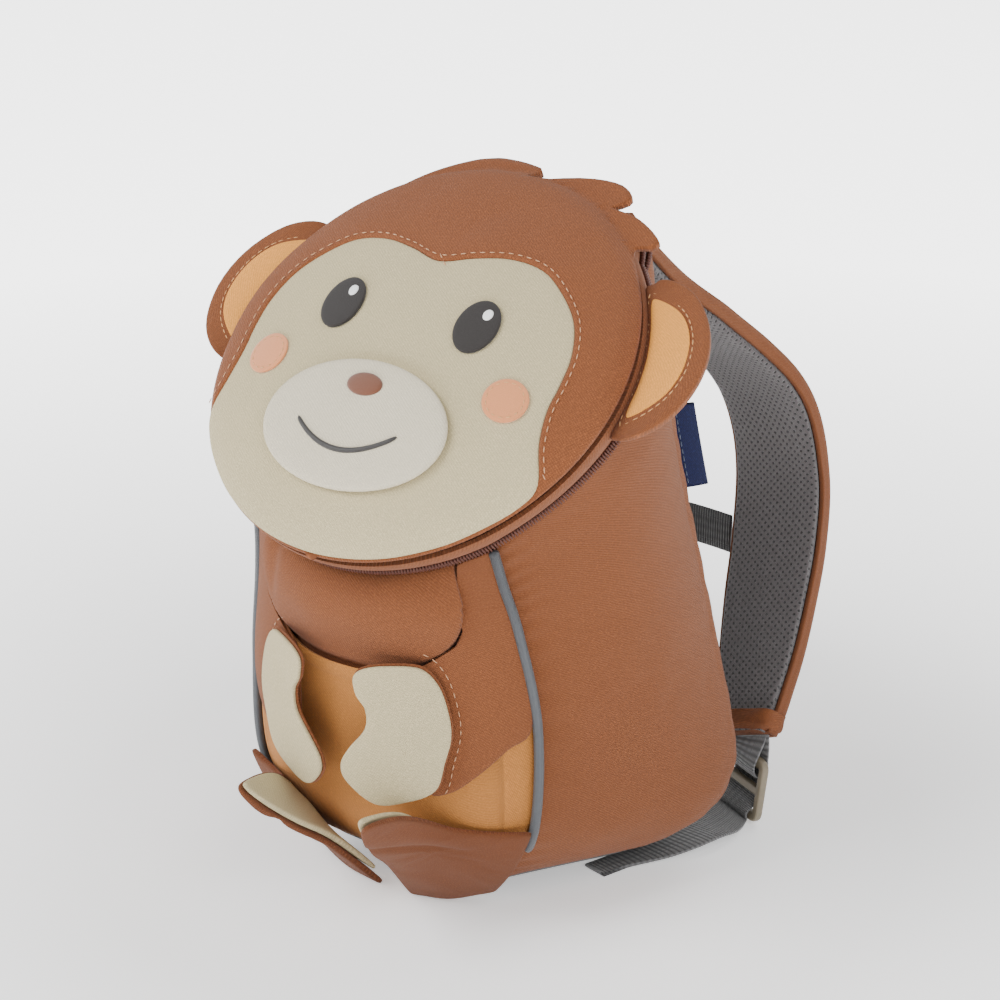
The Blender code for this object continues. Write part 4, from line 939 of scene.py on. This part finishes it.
def tuft_rise(angle):
    """How far the hair reaches past the rim, with each tuft's tip rounded."""
    degrees = math.degrees(angle)
    total = 0.0
    for turn, weight in ((-0.4, 0.25), (0.0, 0.5), (0.4, 0.25)):
        for (a, low), (b, high) in zip(TUFTS, TUFTS[1:]):
            if a <= degrees + turn <= b:
                total += weight * (low + (high - low) * (degrees + turn - a) / (b - a))
    return TUFT_LENGTH * total


def hair_place(a, b):
    """The hair runs from the face's edge (b = 0) out to the lid's rim and the tips of the tufts (b = 1)."""
    face = around(FACE_RING, a)
    way = (face[0] - FACE_MIDDLE[0], face[1] - FACE_MIDDLE[1])
    size = math.hypot(*way)
    way = (way[0] / size, way[1] / size)
    part = way[0] * FACE_MIDDLE[0] + way[1] * FACE_MIDDLE[1]
    far = -part + math.sqrt(part * part + 1 - FACE_MIDDLE[0] ** 2 - FACE_MIDDLE[1] ** 2)
    end = (FACE_MIDDLE[0] + way[0] * far, FACE_MIDDLE[1] + way[1] * far)
    angle = math.atan2(end[0], end[1])
    reach = 1 + tuft_rise(angle) / (LID_LENGTH / 2)
    x = face[0] + (end[0] * reach - face[0]) * b
    y = face[1] + (end[1] * reach - face[1]) * b
    lean = max(0.0, math.hypot(x, y) - TUFT_ROOT) * ease(angle, math.radians(-40), math.radians(-15))
    x, y = x * math.cos(lean) + y * math.sin(lean), y * math.cos(lean) - x * math.sin(lean)
    gap = math.hypot(end[0] - face[0], end[1] - face[1])
    lip = HAIR_STEP * ease(b * gap, 0.0, 0.018) * (1 - 0.75 * ease(b * gap, 0.03, 0.30))
    radius = math.hypot(x, y)
    over = max(0.0, radius - 1.0)
    flat_x, flat_s = x * LID_WIDTH / 2, LID_MIDDLE + y * LID_LENGTH / 2
    rise = LID_WALL * (1 - 0.25 * min(1.0, over / 0.1)) + lip * 0.4 - 0.0008 * min(1.0, over / 0.12)
    flat = on_lid(flat_x, flat_s, rise + dome(flat_x, flat_s))
    soft = 0.0004 * noise.noise(Vector((x * 5, y * 5, 2.0))) * ease(b * gap, 0.0, 0.05)
    return on_head(x, y, 0.0002 + lip + soft).lerp(flat, ease(radius, 0.93, 0.985))


def hair_grain(a, b):
    at = hair_place(a, b)
    return at.x * 1000, SLOPE_UP.dot(at) * 1000


hair_twill = twill("hair_twill", (0.245, 0.076, 0.024))
hair = panel("hair_hood", 360, 34, hair_place, 0.0, [hair_twill], grain=hair_grain, weld=True)
walled(hair, HAIR_WALL)
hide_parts("head_panel")

# Face
# The face is a beige twill patch under the hair's edge. A cream twill muzzle and dark eyes, apricot cheeks
# and a small brown nose of felt are sewn on it, and the smile is a satin stitch: a plain animal face.
PATCH_CLOTH = 0.0011
FACE_GRAIN = (LID_WIDTH * 500, LID_LENGTH * 500)
beige_face = pillow(
    "beige_face", shrunk(FACE_RING, 1.012), on_head, -0.0006, SEAM_GAP + PATCH_CLOTH, beige_twill,
    FACE_GRAIN, 0.12, around_count=160, rings=40, centre=FACE_MIDDLE,
)
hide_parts("face_patch")


def oval(x, s, half_wide, half_high, count=16):
    """An oval outline on the lid from metres, in shares of the lid."""
    ring = [2 * math.pi * i / count for i in range(count)]
    return [
        ((x + half_wide * math.cos(t)) / (LID_WIDTH / 2), (s + half_high * math.sin(t)) / (LID_LENGTH / 2))
        for t in ring
    ]


def felt(name, colour, rough=0.9, sheen=0.5):
    """Brushed cloth of the small appliques: a dense short nap with a slight change of shade."""
    material, tree, shader = fresh_material(name)
    place = node(tree, "ShaderNodeTexCoord")
    nap = node(tree, "ShaderNodeTexNoise", place.outputs["Object"], None, 2600.0, 4.0, 0.7)
    cloud = node(tree, "ShaderNodeTexNoise", place.outputs["Object"], None, 90.0, 2.0, 0.5)
    base = mixed(tree, nap.outputs["Fac"], shade(colour, 0.75), shade(colour, 1.3))
    cloudy = mixed(tree, cloud.outputs["Fac"], base, shade(colour, 1.1))
    tree.links.new(cloudy, shader.inputs["Base Color"])
    raised(tree, shader, nap.outputs["Fac"], 0.6, 0.00015)
    shader.inputs["Roughness"].default_value = rough
    shader.inputs["Sheen Weight"].default_value = sheen
    return material


cream_twill = twill("cream_twill", (0.68, 0.61, 0.46), fleck=1.12, depth=0.8, relief=0.00012)
dark_felt = felt("dark_felt", (0.018, 0.015, 0.014), sheen=0.15)
brown_felt = felt("brown_felt", (0.13, 0.040, 0.016))
white_felt = felt("white_felt", (0.85, 0.85, 0.83))
apricot_felt = felt("apricot_felt", (0.60, 0.22, 0.08))
EYE_X, EYE_UP = 0.026, 0.006
CHEEK_X, CHEEK_UP, CHEEK_RADIUS = 0.046, -0.016, 0.0075
low = SEAM_GAP * 2 + PATCH_CLOTH - 0.0006
muzzle_ring = oval(0, -0.036, 0.034, 0.022, 24)
cheek_rings = {side: oval(sign * CHEEK_X, CHEEK_UP, CHEEK_RADIUS, CHEEK_RADIUS) for sign, side in SIDES}
eye_rings = {side: oval(sign * EYE_X, EYE_UP, 0.0075, 0.0100) for sign, side in SIDES}
nose_ring = oval(0, -0.0235, 0.0065, 0.0040)
PATCHES = (
    ("muzzle", muzzle_ring, low, 0.0042, cream_twill, "cream_twill", 0.40),
    ("eye_right", eye_rings["right"], low, 0.0018, dark_felt, "black_cloth", 0.3),
    ("eye_left", eye_rings["left"], low, 0.0018, dark_felt, "black_cloth", 0.3),
    ("cheek_right", cheek_rings["right"], low, 0.0013, apricot_felt, "apricot_twill", 0.3),
    ("cheek_left", cheek_rings["left"], low, 0.0013, apricot_felt, "apricot_twill", 0.3),
    ("nose", nose_ring, low + 0.0022, 0.0032, brown_felt, "brown_twill", 0.45),
)
for node_name, outline, base, thick, material, slot, full in PATCHES:
    patch = pillow(
        f"{node_name}_patch", outline, on_head, base, base + thick, material, FACE_GRAIN, full, 64, 20
    )
    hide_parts(node_name)
for sign, side in SIDES:
    spot = oval(sign * EYE_X + 0.0022, EYE_UP + 0.0045, 0.0017, 0.0021)
    glint = pillow(
        f"eye_glint_{side}", spot, on_head, low + 0.0012, low + 0.0022, white_felt, FACE_GRAIN, 0.4, 20, 8
    )


SMILE_HALF, SMILE_UP, SMILE_CURVE, SMILE_RADIUS = 0.019, -0.046, 0.008, 0.0009


def smile_place(a, b):
    """A raised satin stitched line, wrapped round its own middle."""
    t = 2 * b - 1
    r = SMILE_RADIUS * round_end(min(b, 1 - b) / 0.06)
    x, s = t * SMILE_HALF, SMILE_UP + SMILE_CURVE * t * t
    angle = 2 * math.pi * a
    s += r * math.cos(angle)
    return on_head(x / (LID_WIDTH / 2), s / (LID_LENGTH / 2), low + 0.0042 + r * 0.7 * math.sin(angle))


smile = panel("smile_line", 12, 80, smile_place, 0, [thread("black_thread", (0.02, 0.017, 0.016))], weld=True)
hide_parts("smile")
for name, ring, share, height, dye in (
    ("muzzle_stitches", muzzle_ring, 0.93, low + 0.0029, beige_thread),
    ("cheek_stitches_right", cheek_rings["right"], 0.80, low + 0.0012, ochre_thread),
    ("cheek_stitches_left", cheek_rings["left"], 0.80, low + 0.0012, ochre_thread),
):
    line = stitches(name, outline_path(ring, on_head, height, share), dye, pitch=0.0026, length=0.0019)

HAIR_STITCH_LOW, HAIR_STITCH_OUT = -0.44, 0.032
hair_line = []
for k in range(721):
    a, b = around(FACE_RING, k / 720)
    if b > HAIR_STITCH_LOW:
        shared = (a - FACE_MIDDLE[0], b - FACE_MIDDLE[1])
        grow = 1 + HAIR_STITCH_OUT / math.hypot(*shared)
        at = (FACE_MIDDLE[0] + shared[0] * grow, FACE_MIDDLE[1] + shared[1] * grow)
        p = on_head(*at, 0.0021)
        hair_line.append((at, p, (on_head(*at, 0.003) - p).normalized()))
right_half = [(p, out) for at, p, out in hair_line if at[0] >= 0]
left_half = [(p, out) for at, p, out in hair_line if at[0] < 0]
stitches("hair_stitches_right", right_half, tan_thread)
stitches("hair_stitches_left", left_half, tan_thread)

# Ears
# Each ear is two layers of brown twill over wadding, sewn into the seam under the lid's band, with an
# apricot patch inside it. The edge is rolled and the patch is stitched down.
EAR_REACH = 0.0225
EAR_THICKNESS = 0.006
EAR_DROP = 0.004
EAR_CUP, EAR_LEAN = 0.0022, 0.0016
EAR_TOP, EAR_LOW = math.radians(53), math.radians(100)
EAR_OUTLINE = (
    (0.5, 0.0), (0.70, 0.0), (0.88, 0.0), (0.96, 0.10), (0.965, 0.5), (0.955, 0.88), (0.86, 1.0), (0.68, 1.0),
    (0.5, 1.0), (0.32, 1.0), (0.14, 1.0), (0.045, 0.88), (0.035, 0.5), (0.04, 0.10), (0.12, 0.0), (0.30, 0.0),
)
INNER_EAR = (
    (0.5, 0.07), (0.66, 0.07), (0.80, 0.09), (0.85, 0.2), (0.80, 0.42), (0.72, 0.60), (0.62, 0.68),
    (0.5, 0.70), (0.38, 0.68), (0.28, 0.60), (0.20, 0.42), (0.15, 0.2), (0.20, 0.09), (0.34, 0.07),
)


def on_ear(sign):
    def place(t, r, height):
        angle = EAR_LOW + (EAR_TOP - EAR_LOW) * t
        base = band_point(sign * angle, 1 - (EAR_DROP - height) / WHOLE, SEAM_GAP)
        out = Vector((sign * math.sin(angle), 0, 0)) + SLOPE_UP * math.cos(angle)
        reach = EAR_REACH * math.sin(math.pi * min(max(t, 0.001), 0.999)) ** 0.55
        cup = EAR_CUP * r * (1 - r) * 4 * (t - 0.2)
        return base + out * reach * r + SLOPE_OUT * (EAR_LEAN * r * r - cup * 0.4)

    return place


def ear_face(t, r):
    """How high the ear's front stands, as a share of half its thickness."""
    share = min(0.999, max(abs(t - 0.5) / 0.465, abs(r - 0.5) / 0.5))
    return (1 - share**2.6) ** 0.42


apricot_twill = twill("apricot_twill", (0.86, 0.355, 0.062), fleck=1.2, depth=0.74)
for sign, side in SIDES:
    place = on_ear(sign)
    half = EAR_THICKNESS / 2
    grain = (58.0 * sign, 22.0)
    ear = pillow(
        f"ear_{side}_cloth", EAR_OUTLINE, place, -half, half, brown_twill, grain, 0.5, 112, 28, blow=0.0007
    )
    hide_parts(f"ear_{side}")

    def over(t, r, height, place=place):
        return place(t, r, half * ear_face(t, r) * 0.92 + height)

    inner = pillow(f"inner_ear_{side}_cloth", INNER_EAR, over, -0.0004, 0.0009, apricot_twill, grain, 0.3)
    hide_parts(f"inner_ear_{side}")
    line = outline_path(INNER_EAR, over, 0.0003, 1.13, 0.02, 0.98)
    stitches(f"inner_ear_stitches_{side}", line, ochre_thread, pitch=0.0028)

# Shoulder straps
# Each strap is a channel of brown twill, bound at its edges, round a pad of grey spacer mesh that lies
# against the shoulder. It is sewn in at the top of the back and ends at the ladder lock below.
STRAP_WIDTH, STRAP_REACH = 0.040, 0.090
STRAP_CLOTH, STRAP_PAD = 0.0022, 0.0045
STRAP_LIP, STRAP_EDGE = 0.0035, 0.0018
STRAP_STITCH_INSET = 0.0036
FOLD_START, FOLD_RUN = 0.945, 0.062
FOLD_HALF, FOLD_SINK = 0.0058, 0.0022
STRAP_ROWS = (
    (0.205, 0.09, 0.975, 0.80, -16),
    (0.218, 0.20, 0.925, 0.85, -16),
    (0.255, 0.38, 0.860, 0.92, -12),
    (0.33, 0.62, 0.792, 1.00, -3),
    (0.42, 0.83, 0.725, 1.00, 6),
    (0.51, 0.96, 0.654, 1.00, 8),
    (0.585, 1.00, 0.578, 1.00, 10),
    (0.645, 0.965, 0.490, 1.00, 12),
    (0.705, 0.84, 0.400, 1.00, 14),
    (0.755, 0.68, 0.312, 0.98, 17),
    (0.80, 0.53, 0.232, 0.90, 20),
    (0.835, 0.42, 0.175, 0.76, 24),
    (0.855, 0.33, 0.134, 0.64, 28),
)


def strap_middle(sign, t):
    x, reach, up, _, _ = between(STRAP_ROWS, t)
    return Vector((sign * x * HALF_WIDTH, BACK_Y + reach * STRAP_REACH, up * BODY_HEIGHT))


def strap_frame(sign, t):
    """The middle of a strap at t, its directions across and out of its cloth side, and its width."""
    row = between(STRAP_ROWS, t)
    along = (strap_middle(sign, min(t + 0.01, 1)) - strap_middle(sign, max(t - 0.01, 0))).normalized()
    twist = math.radians(row[4])
    across = Vector((math.cos(twist), -sign * math.sin(twist), 0))
    across = (across - along * across.dot(along)).normalized()
    out = across.cross(along).normalized()
    if out.y < 0:
        out = -out
    return strap_middle(sign, t), across, out, row[3] * STRAP_WIDTH


def rounded(points, t):
    """A point on a closed section whose corners are softened."""
    return between([*points, points[0]], t)


def strap_section(half):
    """The channel's section: its outside from lip to lip, then its hollow back again."""
    edge = STRAP_EDGE
    outside = (
        (-half, -STRAP_LIP), (-half, -STRAP_LIP / 2), (-half, 0.0), (-half + edge * 0.3, STRAP_CLOTH * 0.72),
        (-half + edge, STRAP_CLOTH), (-half * 0.5, STRAP_CLOTH + edge * 0.3), (0.0, STRAP_CLOTH + edge / 2),
        (half * 0.5, STRAP_CLOTH + edge * 0.3), (half - edge, STRAP_CLOTH),
        (half - edge * 0.3, STRAP_CLOTH * 0.72), (half, 0.0), (half, -STRAP_LIP / 2), (half, -STRAP_LIP),
    )
    hollow = (
        (half - edge * 0.5, -STRAP_LIP - 0.0003), (half - edge, -STRAP_LIP), (half - edge, -edge),
        (half - edge * 1.5, -edge / 3), (0.0, 0.0), (-half + edge * 1.5, -edge / 3), (-half + edge, -edge),
        (-half + edge, -STRAP_LIP), (-half + edge * 0.5, -STRAP_LIP - 0.0003),
    )
    return outside + hollow


def strap_grain(a, b):
    return a * 90.0, b * 250.0


def close_ends(piece):
    """Closes the two open ends of a wrapped grid."""
    bm = bmesh.new()
    bm.from_mesh(piece.data)
    bmesh.ops.holes_fill(bm, edges=[e for e in bm.edges if e.is_boundary], sides=0)
    bmesh.ops.recalc_face_normals(bm, faces=bm.faces)
    bm.to_mesh(piece.data)
    bm.free()


for sign, side in SIDES:

    def channel(a, b, sign=sign):
        middle, across, out, width = strap_frame(sign, b)
        x, h = rounded(strap_section(width / 2), a)
        soft = 0.0003 * noise.noise(Vector((x * 60, b * 14, 7.0 * sign))) if abs(x) < width * 0.4 else 0.0
        return middle + across * x + out * (h + soft)

    cover = panel(
        f"strap_cover_{side}", 88, 130, channel, 0, [brown_twill], grain=strap_grain, weld=True, sharp=70
    )
    close_ends(cover)
    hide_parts(f"strap_{side}")

    def foam(a, b, sign=sign):
        middle, across, out, width = strap_frame(sign, b)
        wide = width / 2 - STRAP_EDGE - SEAM_GAP
        top = -STRAP_EDGE - SEAM_GAP
        low = top - STRAP_PAD
        mid = (top + low) / 2
        angle = 2 * math.pi * a
        x = wide * blunt(math.cos(angle), 0.35)
        h = STRAP_PAD / 2 * blunt(math.sin(angle), 0.5)
        soft = 0.0005 * noise.noise(Vector((x * 70, b * 12, 3.0 * sign))) * ease(-h, 0.0, STRAP_PAD / 4)
        return middle + across * x + out * (mid + h + soft)

    def end_fold(a, b, sign=sign):
        middle, across, out, width = strap_frame(sign, FOLD_START + FOLD_RUN * b)
        angle = 2 * math.pi * a
        tight = 1 - 0.30 * ease(b, 0.55, 1.0)
        x = (width / 2 + 0.0006) * blunt(math.cos(angle), 0.3) * tight
        h = FOLD_HALF * blunt(math.sin(angle), 0.55)
        h = (h if h > 0 else h * 1.15) * (1 - 0.45 * ease(b, 0.5, 1.0))
        tuck = 0.0004 * math.sin(b * 9 + x * 300)
        return middle + across * x + out * (h - FOLD_SINK + tuck)

    fold_grain = (lambda a, b: (a * 70.0, b * 16.0))
    fold = panel(f"strap_end_{side}", 60, 24, end_fold, 0, [brown_twill], grain=fold_grain, weld=True)
    close_ends(fold)
    mesh_pad = panel(f"strap_pad_{side}", 72, 130, foam, 0, [grey_mesh], weld=True)
    close_ends(mesh_pad)
    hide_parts(f"strap_mesh_{side}")
    for k in (-1, 1):
        path = []
        for t in span(0.01, 0.985, 260):
            middle, across, out, width = strap_frame(sign, t)
            seam = across * k * (width / 2 - STRAP_STITCH_INSET)
            path.append((middle + seam + out * (STRAP_CLOTH + 0.0004), out))
        name = "outer" if k == sign else "inner"
        stitches(f"strap_stitches_{name}_{side}", path, tan_thread)

# Webbing and ladder locks
# The straps are drawn in by grey polypropylene webbing, ribbed across. It runs through a khaki acetal
# ladder lock and under the bottom's edge, where it is sewn in.
WEBBING_WIDTH, WEBBING_THICKNESS = 0.020, 0.0014
LOCK_LENGTH, LOCK_THICKNESS = 0.024, 0.003
LOCK_BAR, LOCK_SLOT = 0.0035, 0.007
LOCK_TURN, LOCK_TILT, LOCK_DROP = math.radians(30), 0.15, 0.0052
WEBBING_ROWS = (
    (0.845, -0.100, 2.2, -24, 3),
    (0.810, 0.020, 2.6, -18, 7),
    (0.735, 0.200, 1.05, -16, 2),
    (0.650, 0.380, 0.70, -16, 0),
)


def webbing_cloth(name, colour, pitch=1.15):
    """Plain woven webbing: strong ribs across, each split into small picks."""
    material, tree, shader = fresh_material(name)
    grain = node(tree, "ShaderNodeUVMap", uv_map="UVMap")
    rib = node(tree, "ShaderNodeTexWave", grain.outputs[0], 0.314 / pitch, 0.4, 1.0, 0.5, bands_direction="Y")
    pick = node(tree, "ShaderNodeTexWave", grain.outputs[0], 0.314 / 0.9, 0.8, 1.0, 0.5, bands_direction="X")
    weave = node(tree, "ShaderNodeMath", rib.outputs["Fac"], pick.outputs["Fac"], operation="MULTIPLY")
    both = node(tree, "ShaderNodeMath", rib.outputs["Fac"], weave.outputs[0], operation="ADD")
    half = node(tree, "ShaderNodeMath", both.outputs[0], 0.5, operation="MULTIPLY")
    worn = node(tree, "ShaderNodeTexNoise", grain.outputs[0], None, 0.4, 3.0, 0.6)
    base = mixed(tree, worn.outputs["Fac"], shade(colour, 0.82), shade(colour, 1.25))
    ribbed = mixed(tree, half.outputs[0], shade(colour, 0.42), base)
    tree.links.new(ribbed, shader.inputs["Base Color"])
    raised(tree, shader, half.outputs[0], 1.0, 0.0004)
    shader.inputs["Roughness"].default_value = 0.62
    shader.inputs["Sheen Weight"].default_value = 0.3
    return material


def moulded(name, colour, rough=0.42, metal=0.0):
    """Moulded plastic or cast metal: a fine grain, soft scuffs, and paler rubbed patches."""
    material, tree, shader = fresh_material(name)
    place = node(tree, "ShaderNodeTexCoord")
    grit = node(tree, "ShaderNodeTexNoise", place.outputs["Object"], None, 3200.0, 2.0, 0.5)
    scuff = node(tree, "ShaderNodeTexNoise", place.outputs["Object"], None, 160.0, 4.0, 0.65)
    worn = node(tree, "ShaderNodeMapRange", scuff.outputs["Fac"], 0.45, 0.75, 0.0, 0.6)
    tone = mixed(tree, worn.outputs[0], shade(colour, 0.95), shade(colour, 1.25))
    tree.links.new(tone, shader.inputs["Base Color"])
    uneven = node(tree, "ShaderNodeMapRange", scuff.outputs["Fac"], 0.3, 0.7, rough * 0.85, rough * 1.25)
    tree.links.new(uneven.outputs[0], shader.inputs["Roughness"])
    raised(tree, shader, grit.outputs["Fac"], 0.35, 0.00005)
    shader.inputs["Metallic"].default_value = metal
    return material


grey_webbing = webbing_cloth("grey_webbing", (0.24, 0.24, 0.245))
khaki_plastic = moulded("khaki_plastic", (0.235, 0.195, 0.135))


def ribbon(name, route, width, thickness, material, count=120, sewn=0.0, sign=1):
    """A flat webbing through a route of points, each with the direction of its width. A sewn end runs
    slantwise into a seam: its outer side is lost under the bag over the last stretch."""
    rows = [(*p, *across.normalized()) for p, across in route]
    run = sum((b[0] - a[0]).length for a, b in zip(route, route[1:])) * 1000

    def place(a, b):
        row, ahead, back = (between(rows, b + k) for k in (0.0, 0.004, -0.004))
        p, across = Vector(row[:3]), Vector(row[3:]).normalized()
        along = (Vector(ahead[:3]) - Vector(back[:3])).normalized()
        out = across.cross(along).normalized()
        angle = 2 * math.pi * a
        x = blunt(math.cos(angle), 0.3) * width / 2
        if x * sign > 0:
            x *= 1 - sewn * ease(b, 0.70, 1.0)
        h = blunt(math.sin(angle), 0.45) * thickness / 2
        return p + across * x + out * h

    def grain(a, b):
        return math.cos(2 * math.pi * a) * width * 500, b * run

    strap = panel(name, 40, count, place, 0, [material], grain=grain, weld=True, sharp=60)
    close_ends(strap)
    return strap


def softened(name, node_name, material, width=0.0007):
    """A copy of a moulded CAD solid with its edges eased."""
    bm = bmesh.new()
    bm.from_mesh(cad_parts[node_name].data)
    bmesh.ops.remove_doubles(bm, verts=bm.verts, dist=1e-5)
    bmesh.ops.dissolve_limit(
        bm, angle_limit=math.radians(1), verts=bm.verts, edges=bm.edges, use_dissolve_boundaries=False
    )
    sharp = [e for e in bm.edges if e.is_manifold and e.calc_face_angle() > math.radians(40)]
    bmesh.ops.bevel(bm, geom=sharp, offset=width, segments=3, profile=0.5, affect="EDGES", material=-1)
    piece = finish(name, bm, [material], 40)
    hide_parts(node_name)
    return piece


for sign, side in SIDES:
    lock = softened(f"ladder_lock_{side}_body", f"ladder_lock_{side}", khaki_plastic)
    across = Vector((math.cos(LOCK_TURN), -sign * math.sin(LOCK_TURN), 0))
    down = Vector((0, -LOCK_TILT, -1)).normalized()
    down = (down - across * across.dot(down)).normalized()
    facing = across.cross(down)
    middle = strap_middle(sign, 1.0) + down * (LOCK_LENGTH / 2 + LOCK_DROP)
    away = (facing if facing.y > 0 else -facing) * (LOCK_THICKNESS / 2 + WEBBING_THICKNESS / 2 + SEAM_GAP * 2)
    slot_top = LOCK_LENGTH / 2 - LOCK_BAR - LOCK_SLOT
    route = [
        (middle - down * (LOCK_LENGTH - LOCK_BAR) / 2 + away, across),
        (middle + down * slot_top + away, across),
        (middle + down * (slot_top + LOCK_SLOT) - away, across),
        (middle + down * LOCK_LENGTH / 2 - away, across),
    ]
    for x, forward, thick, turn, tip in WEBBING_ROWS:
        at = Vector((sign * x * HALF_WIDTH, BACK_Y - forward * BODY_DEPTH, thick * WEBBING_THICKNESS))
        turn, tip = math.radians(turn), math.radians(tip)
        route.append((at, Vector((math.cos(turn), sign * math.sin(turn), sign * math.sin(tip)))))
    top_slot = -LOCK_LENGTH / 2 + LOCK_BAR + LOCK_SLOT / 2
    end, side_way, _, _ = strap_frame(sign, 0.985)
    loop = [
        (end + Vector((0, -0.0012, 0)), side_way),
        (middle + down * (top_slot - LOCK_SLOT / 2 - LOCK_BAR * 0.6) + away * 0.95, across),
        (middle + down * (top_slot - LOCK_SLOT * 0.12) + away * 0.6, across),
        (middle + down * (top_slot - LOCK_SLOT * 0.10) - away * 0.6, across),
        (middle + down * (top_slot - LOCK_SLOT / 2 - LOCK_BAR * 0.6) - away * 0.95, across),
        (end + Vector((0, 0.0012, 0)) - away * 0.4, side_way),
    ]
    hanger = ribbon(f"lock_loop_{side}", loop, WEBBING_WIDTH, WEBBING_THICKNESS * 0.8, grey_webbing, 90)
    web = ribbon(
        f"webbing_{side}_strap", route, WEBBING_WIDTH, WEBBING_THICKNESS, grey_webbing, sewn=1.2, sign=sign
    )
    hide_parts(f"webbing_{side}")

# Chest strap
# Black webbing joins the two shoulder straps across the back. Its halves meet in a plain side-release clip
# of khaki plastic.
CHEST_PLACE, CHEST_WEBBING = 0.66, 0.015
CHEST_SAG, CHEST_CLEAR, CLIP_HALF = 0.004, 0.0024, 0.012
black_webbing = webbing_cloth("black_webbing", (0.022, 0.021, 0.021))
middle, across, _, width = strap_frame(1, CHEST_PLACE)
edge = middle - across * (width / 2 + SEAM_GAP)
start, end = edge.x - CHEST_CLEAR, CLIP_HALF + SEAM_GAP
for sign, side in SIDES:
    route = []
    for k in span(0.0, 1.0, 6):
        y = edge.y + CHEST_SAG * math.sin(math.pi / 2 * k)
        route.append((Vector((sign * (start + (end - start) * k), y, edge.z)), Vector((0, 0, 1))))
    half = ribbon(f"chest_webbing_{side}", route, CHEST_WEBBING, WEBBING_THICKNESS, black_webbing, 60)
    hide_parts(f"chest_strap_{side}")
clip = softened("chest_clip_body", "chest_clip", khaki_plastic, 0.0004)

# Zip slider
# The zip's cast slider rests at the left end, under the ear, with a short pull tab.
brown_metal = moulded("brown_metal", (0.12, 0.075, 0.05), 0.35, 0.8)
slider = softened("zip_slider_body", "zip_slider", brown_metal, 0.0004)

# Side tab
# A folded loop of plain navy ribbon is caught in the right back seam.
TAB_HEIGHT, TAB_REACH, TAB_CLOTH = 0.023, 0.009, 0.0010
TAB_V, TAB_INSET, TAB_SINK = 0.70, 0.01, 0.0004
TAB_TURN = math.radians(60)
navy_ribbon = twill("navy_ribbon", (0.008, 0.012, 0.058), pitch=0.5, fleck=1.6, sheen=0.04)
tab_out = Vector((math.cos(TAB_TURN), math.sin(TAB_TURN), 0))
tab_side = Vector((math.sin(TAB_TURN), -math.cos(TAB_TURN), 0)) * TAB_CLOTH


def tab_place(a, b):
    v = TAB_V + (b - 0.5) * TAB_HEIGHT / BODY_HEIGHT
    base = skin(BACK_SEAM_U - TAB_INSET, v, -TAB_SINK)
    run = 1 - abs(2 * a - 1)
    bulge = math.sin(math.pi * min(1.0, run)) * 0.0003
    across = 0.5 + 0.5 * math.copysign(min(1.0, abs(2 * a - 1) / 0.10), 2 * a - 1)
    reach = TAB_REACH * min(1.0, run / 0.9) + 0.0004 * math.sqrt(max(0.0, 1 - (abs(2 * a - 1) / 0.1) ** 2))
    return base + tab_out * reach + tab_side * across + tab_side.normalized() * bulge * (1 if a > 0.5 else -1)


tab = panel("navy_tab", 60, 30, tab_place, 0, [navy_ribbon], grain=lambda a, b: (a * 20, b * 23))
close_ends(tab)
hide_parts("side_tab")
low_edge = []
for k in span(0.04, 0.96, 40):
    low_edge.append((tab_place(0.93, k) + tab_side.normalized() * 0.0002, tab_side.normalized()))
navy_thread = thread("navy_thread", (0.05, 0.07, 0.12))
stitches("tab_stitches", low_edge, navy_thread, pitch=0.0026)
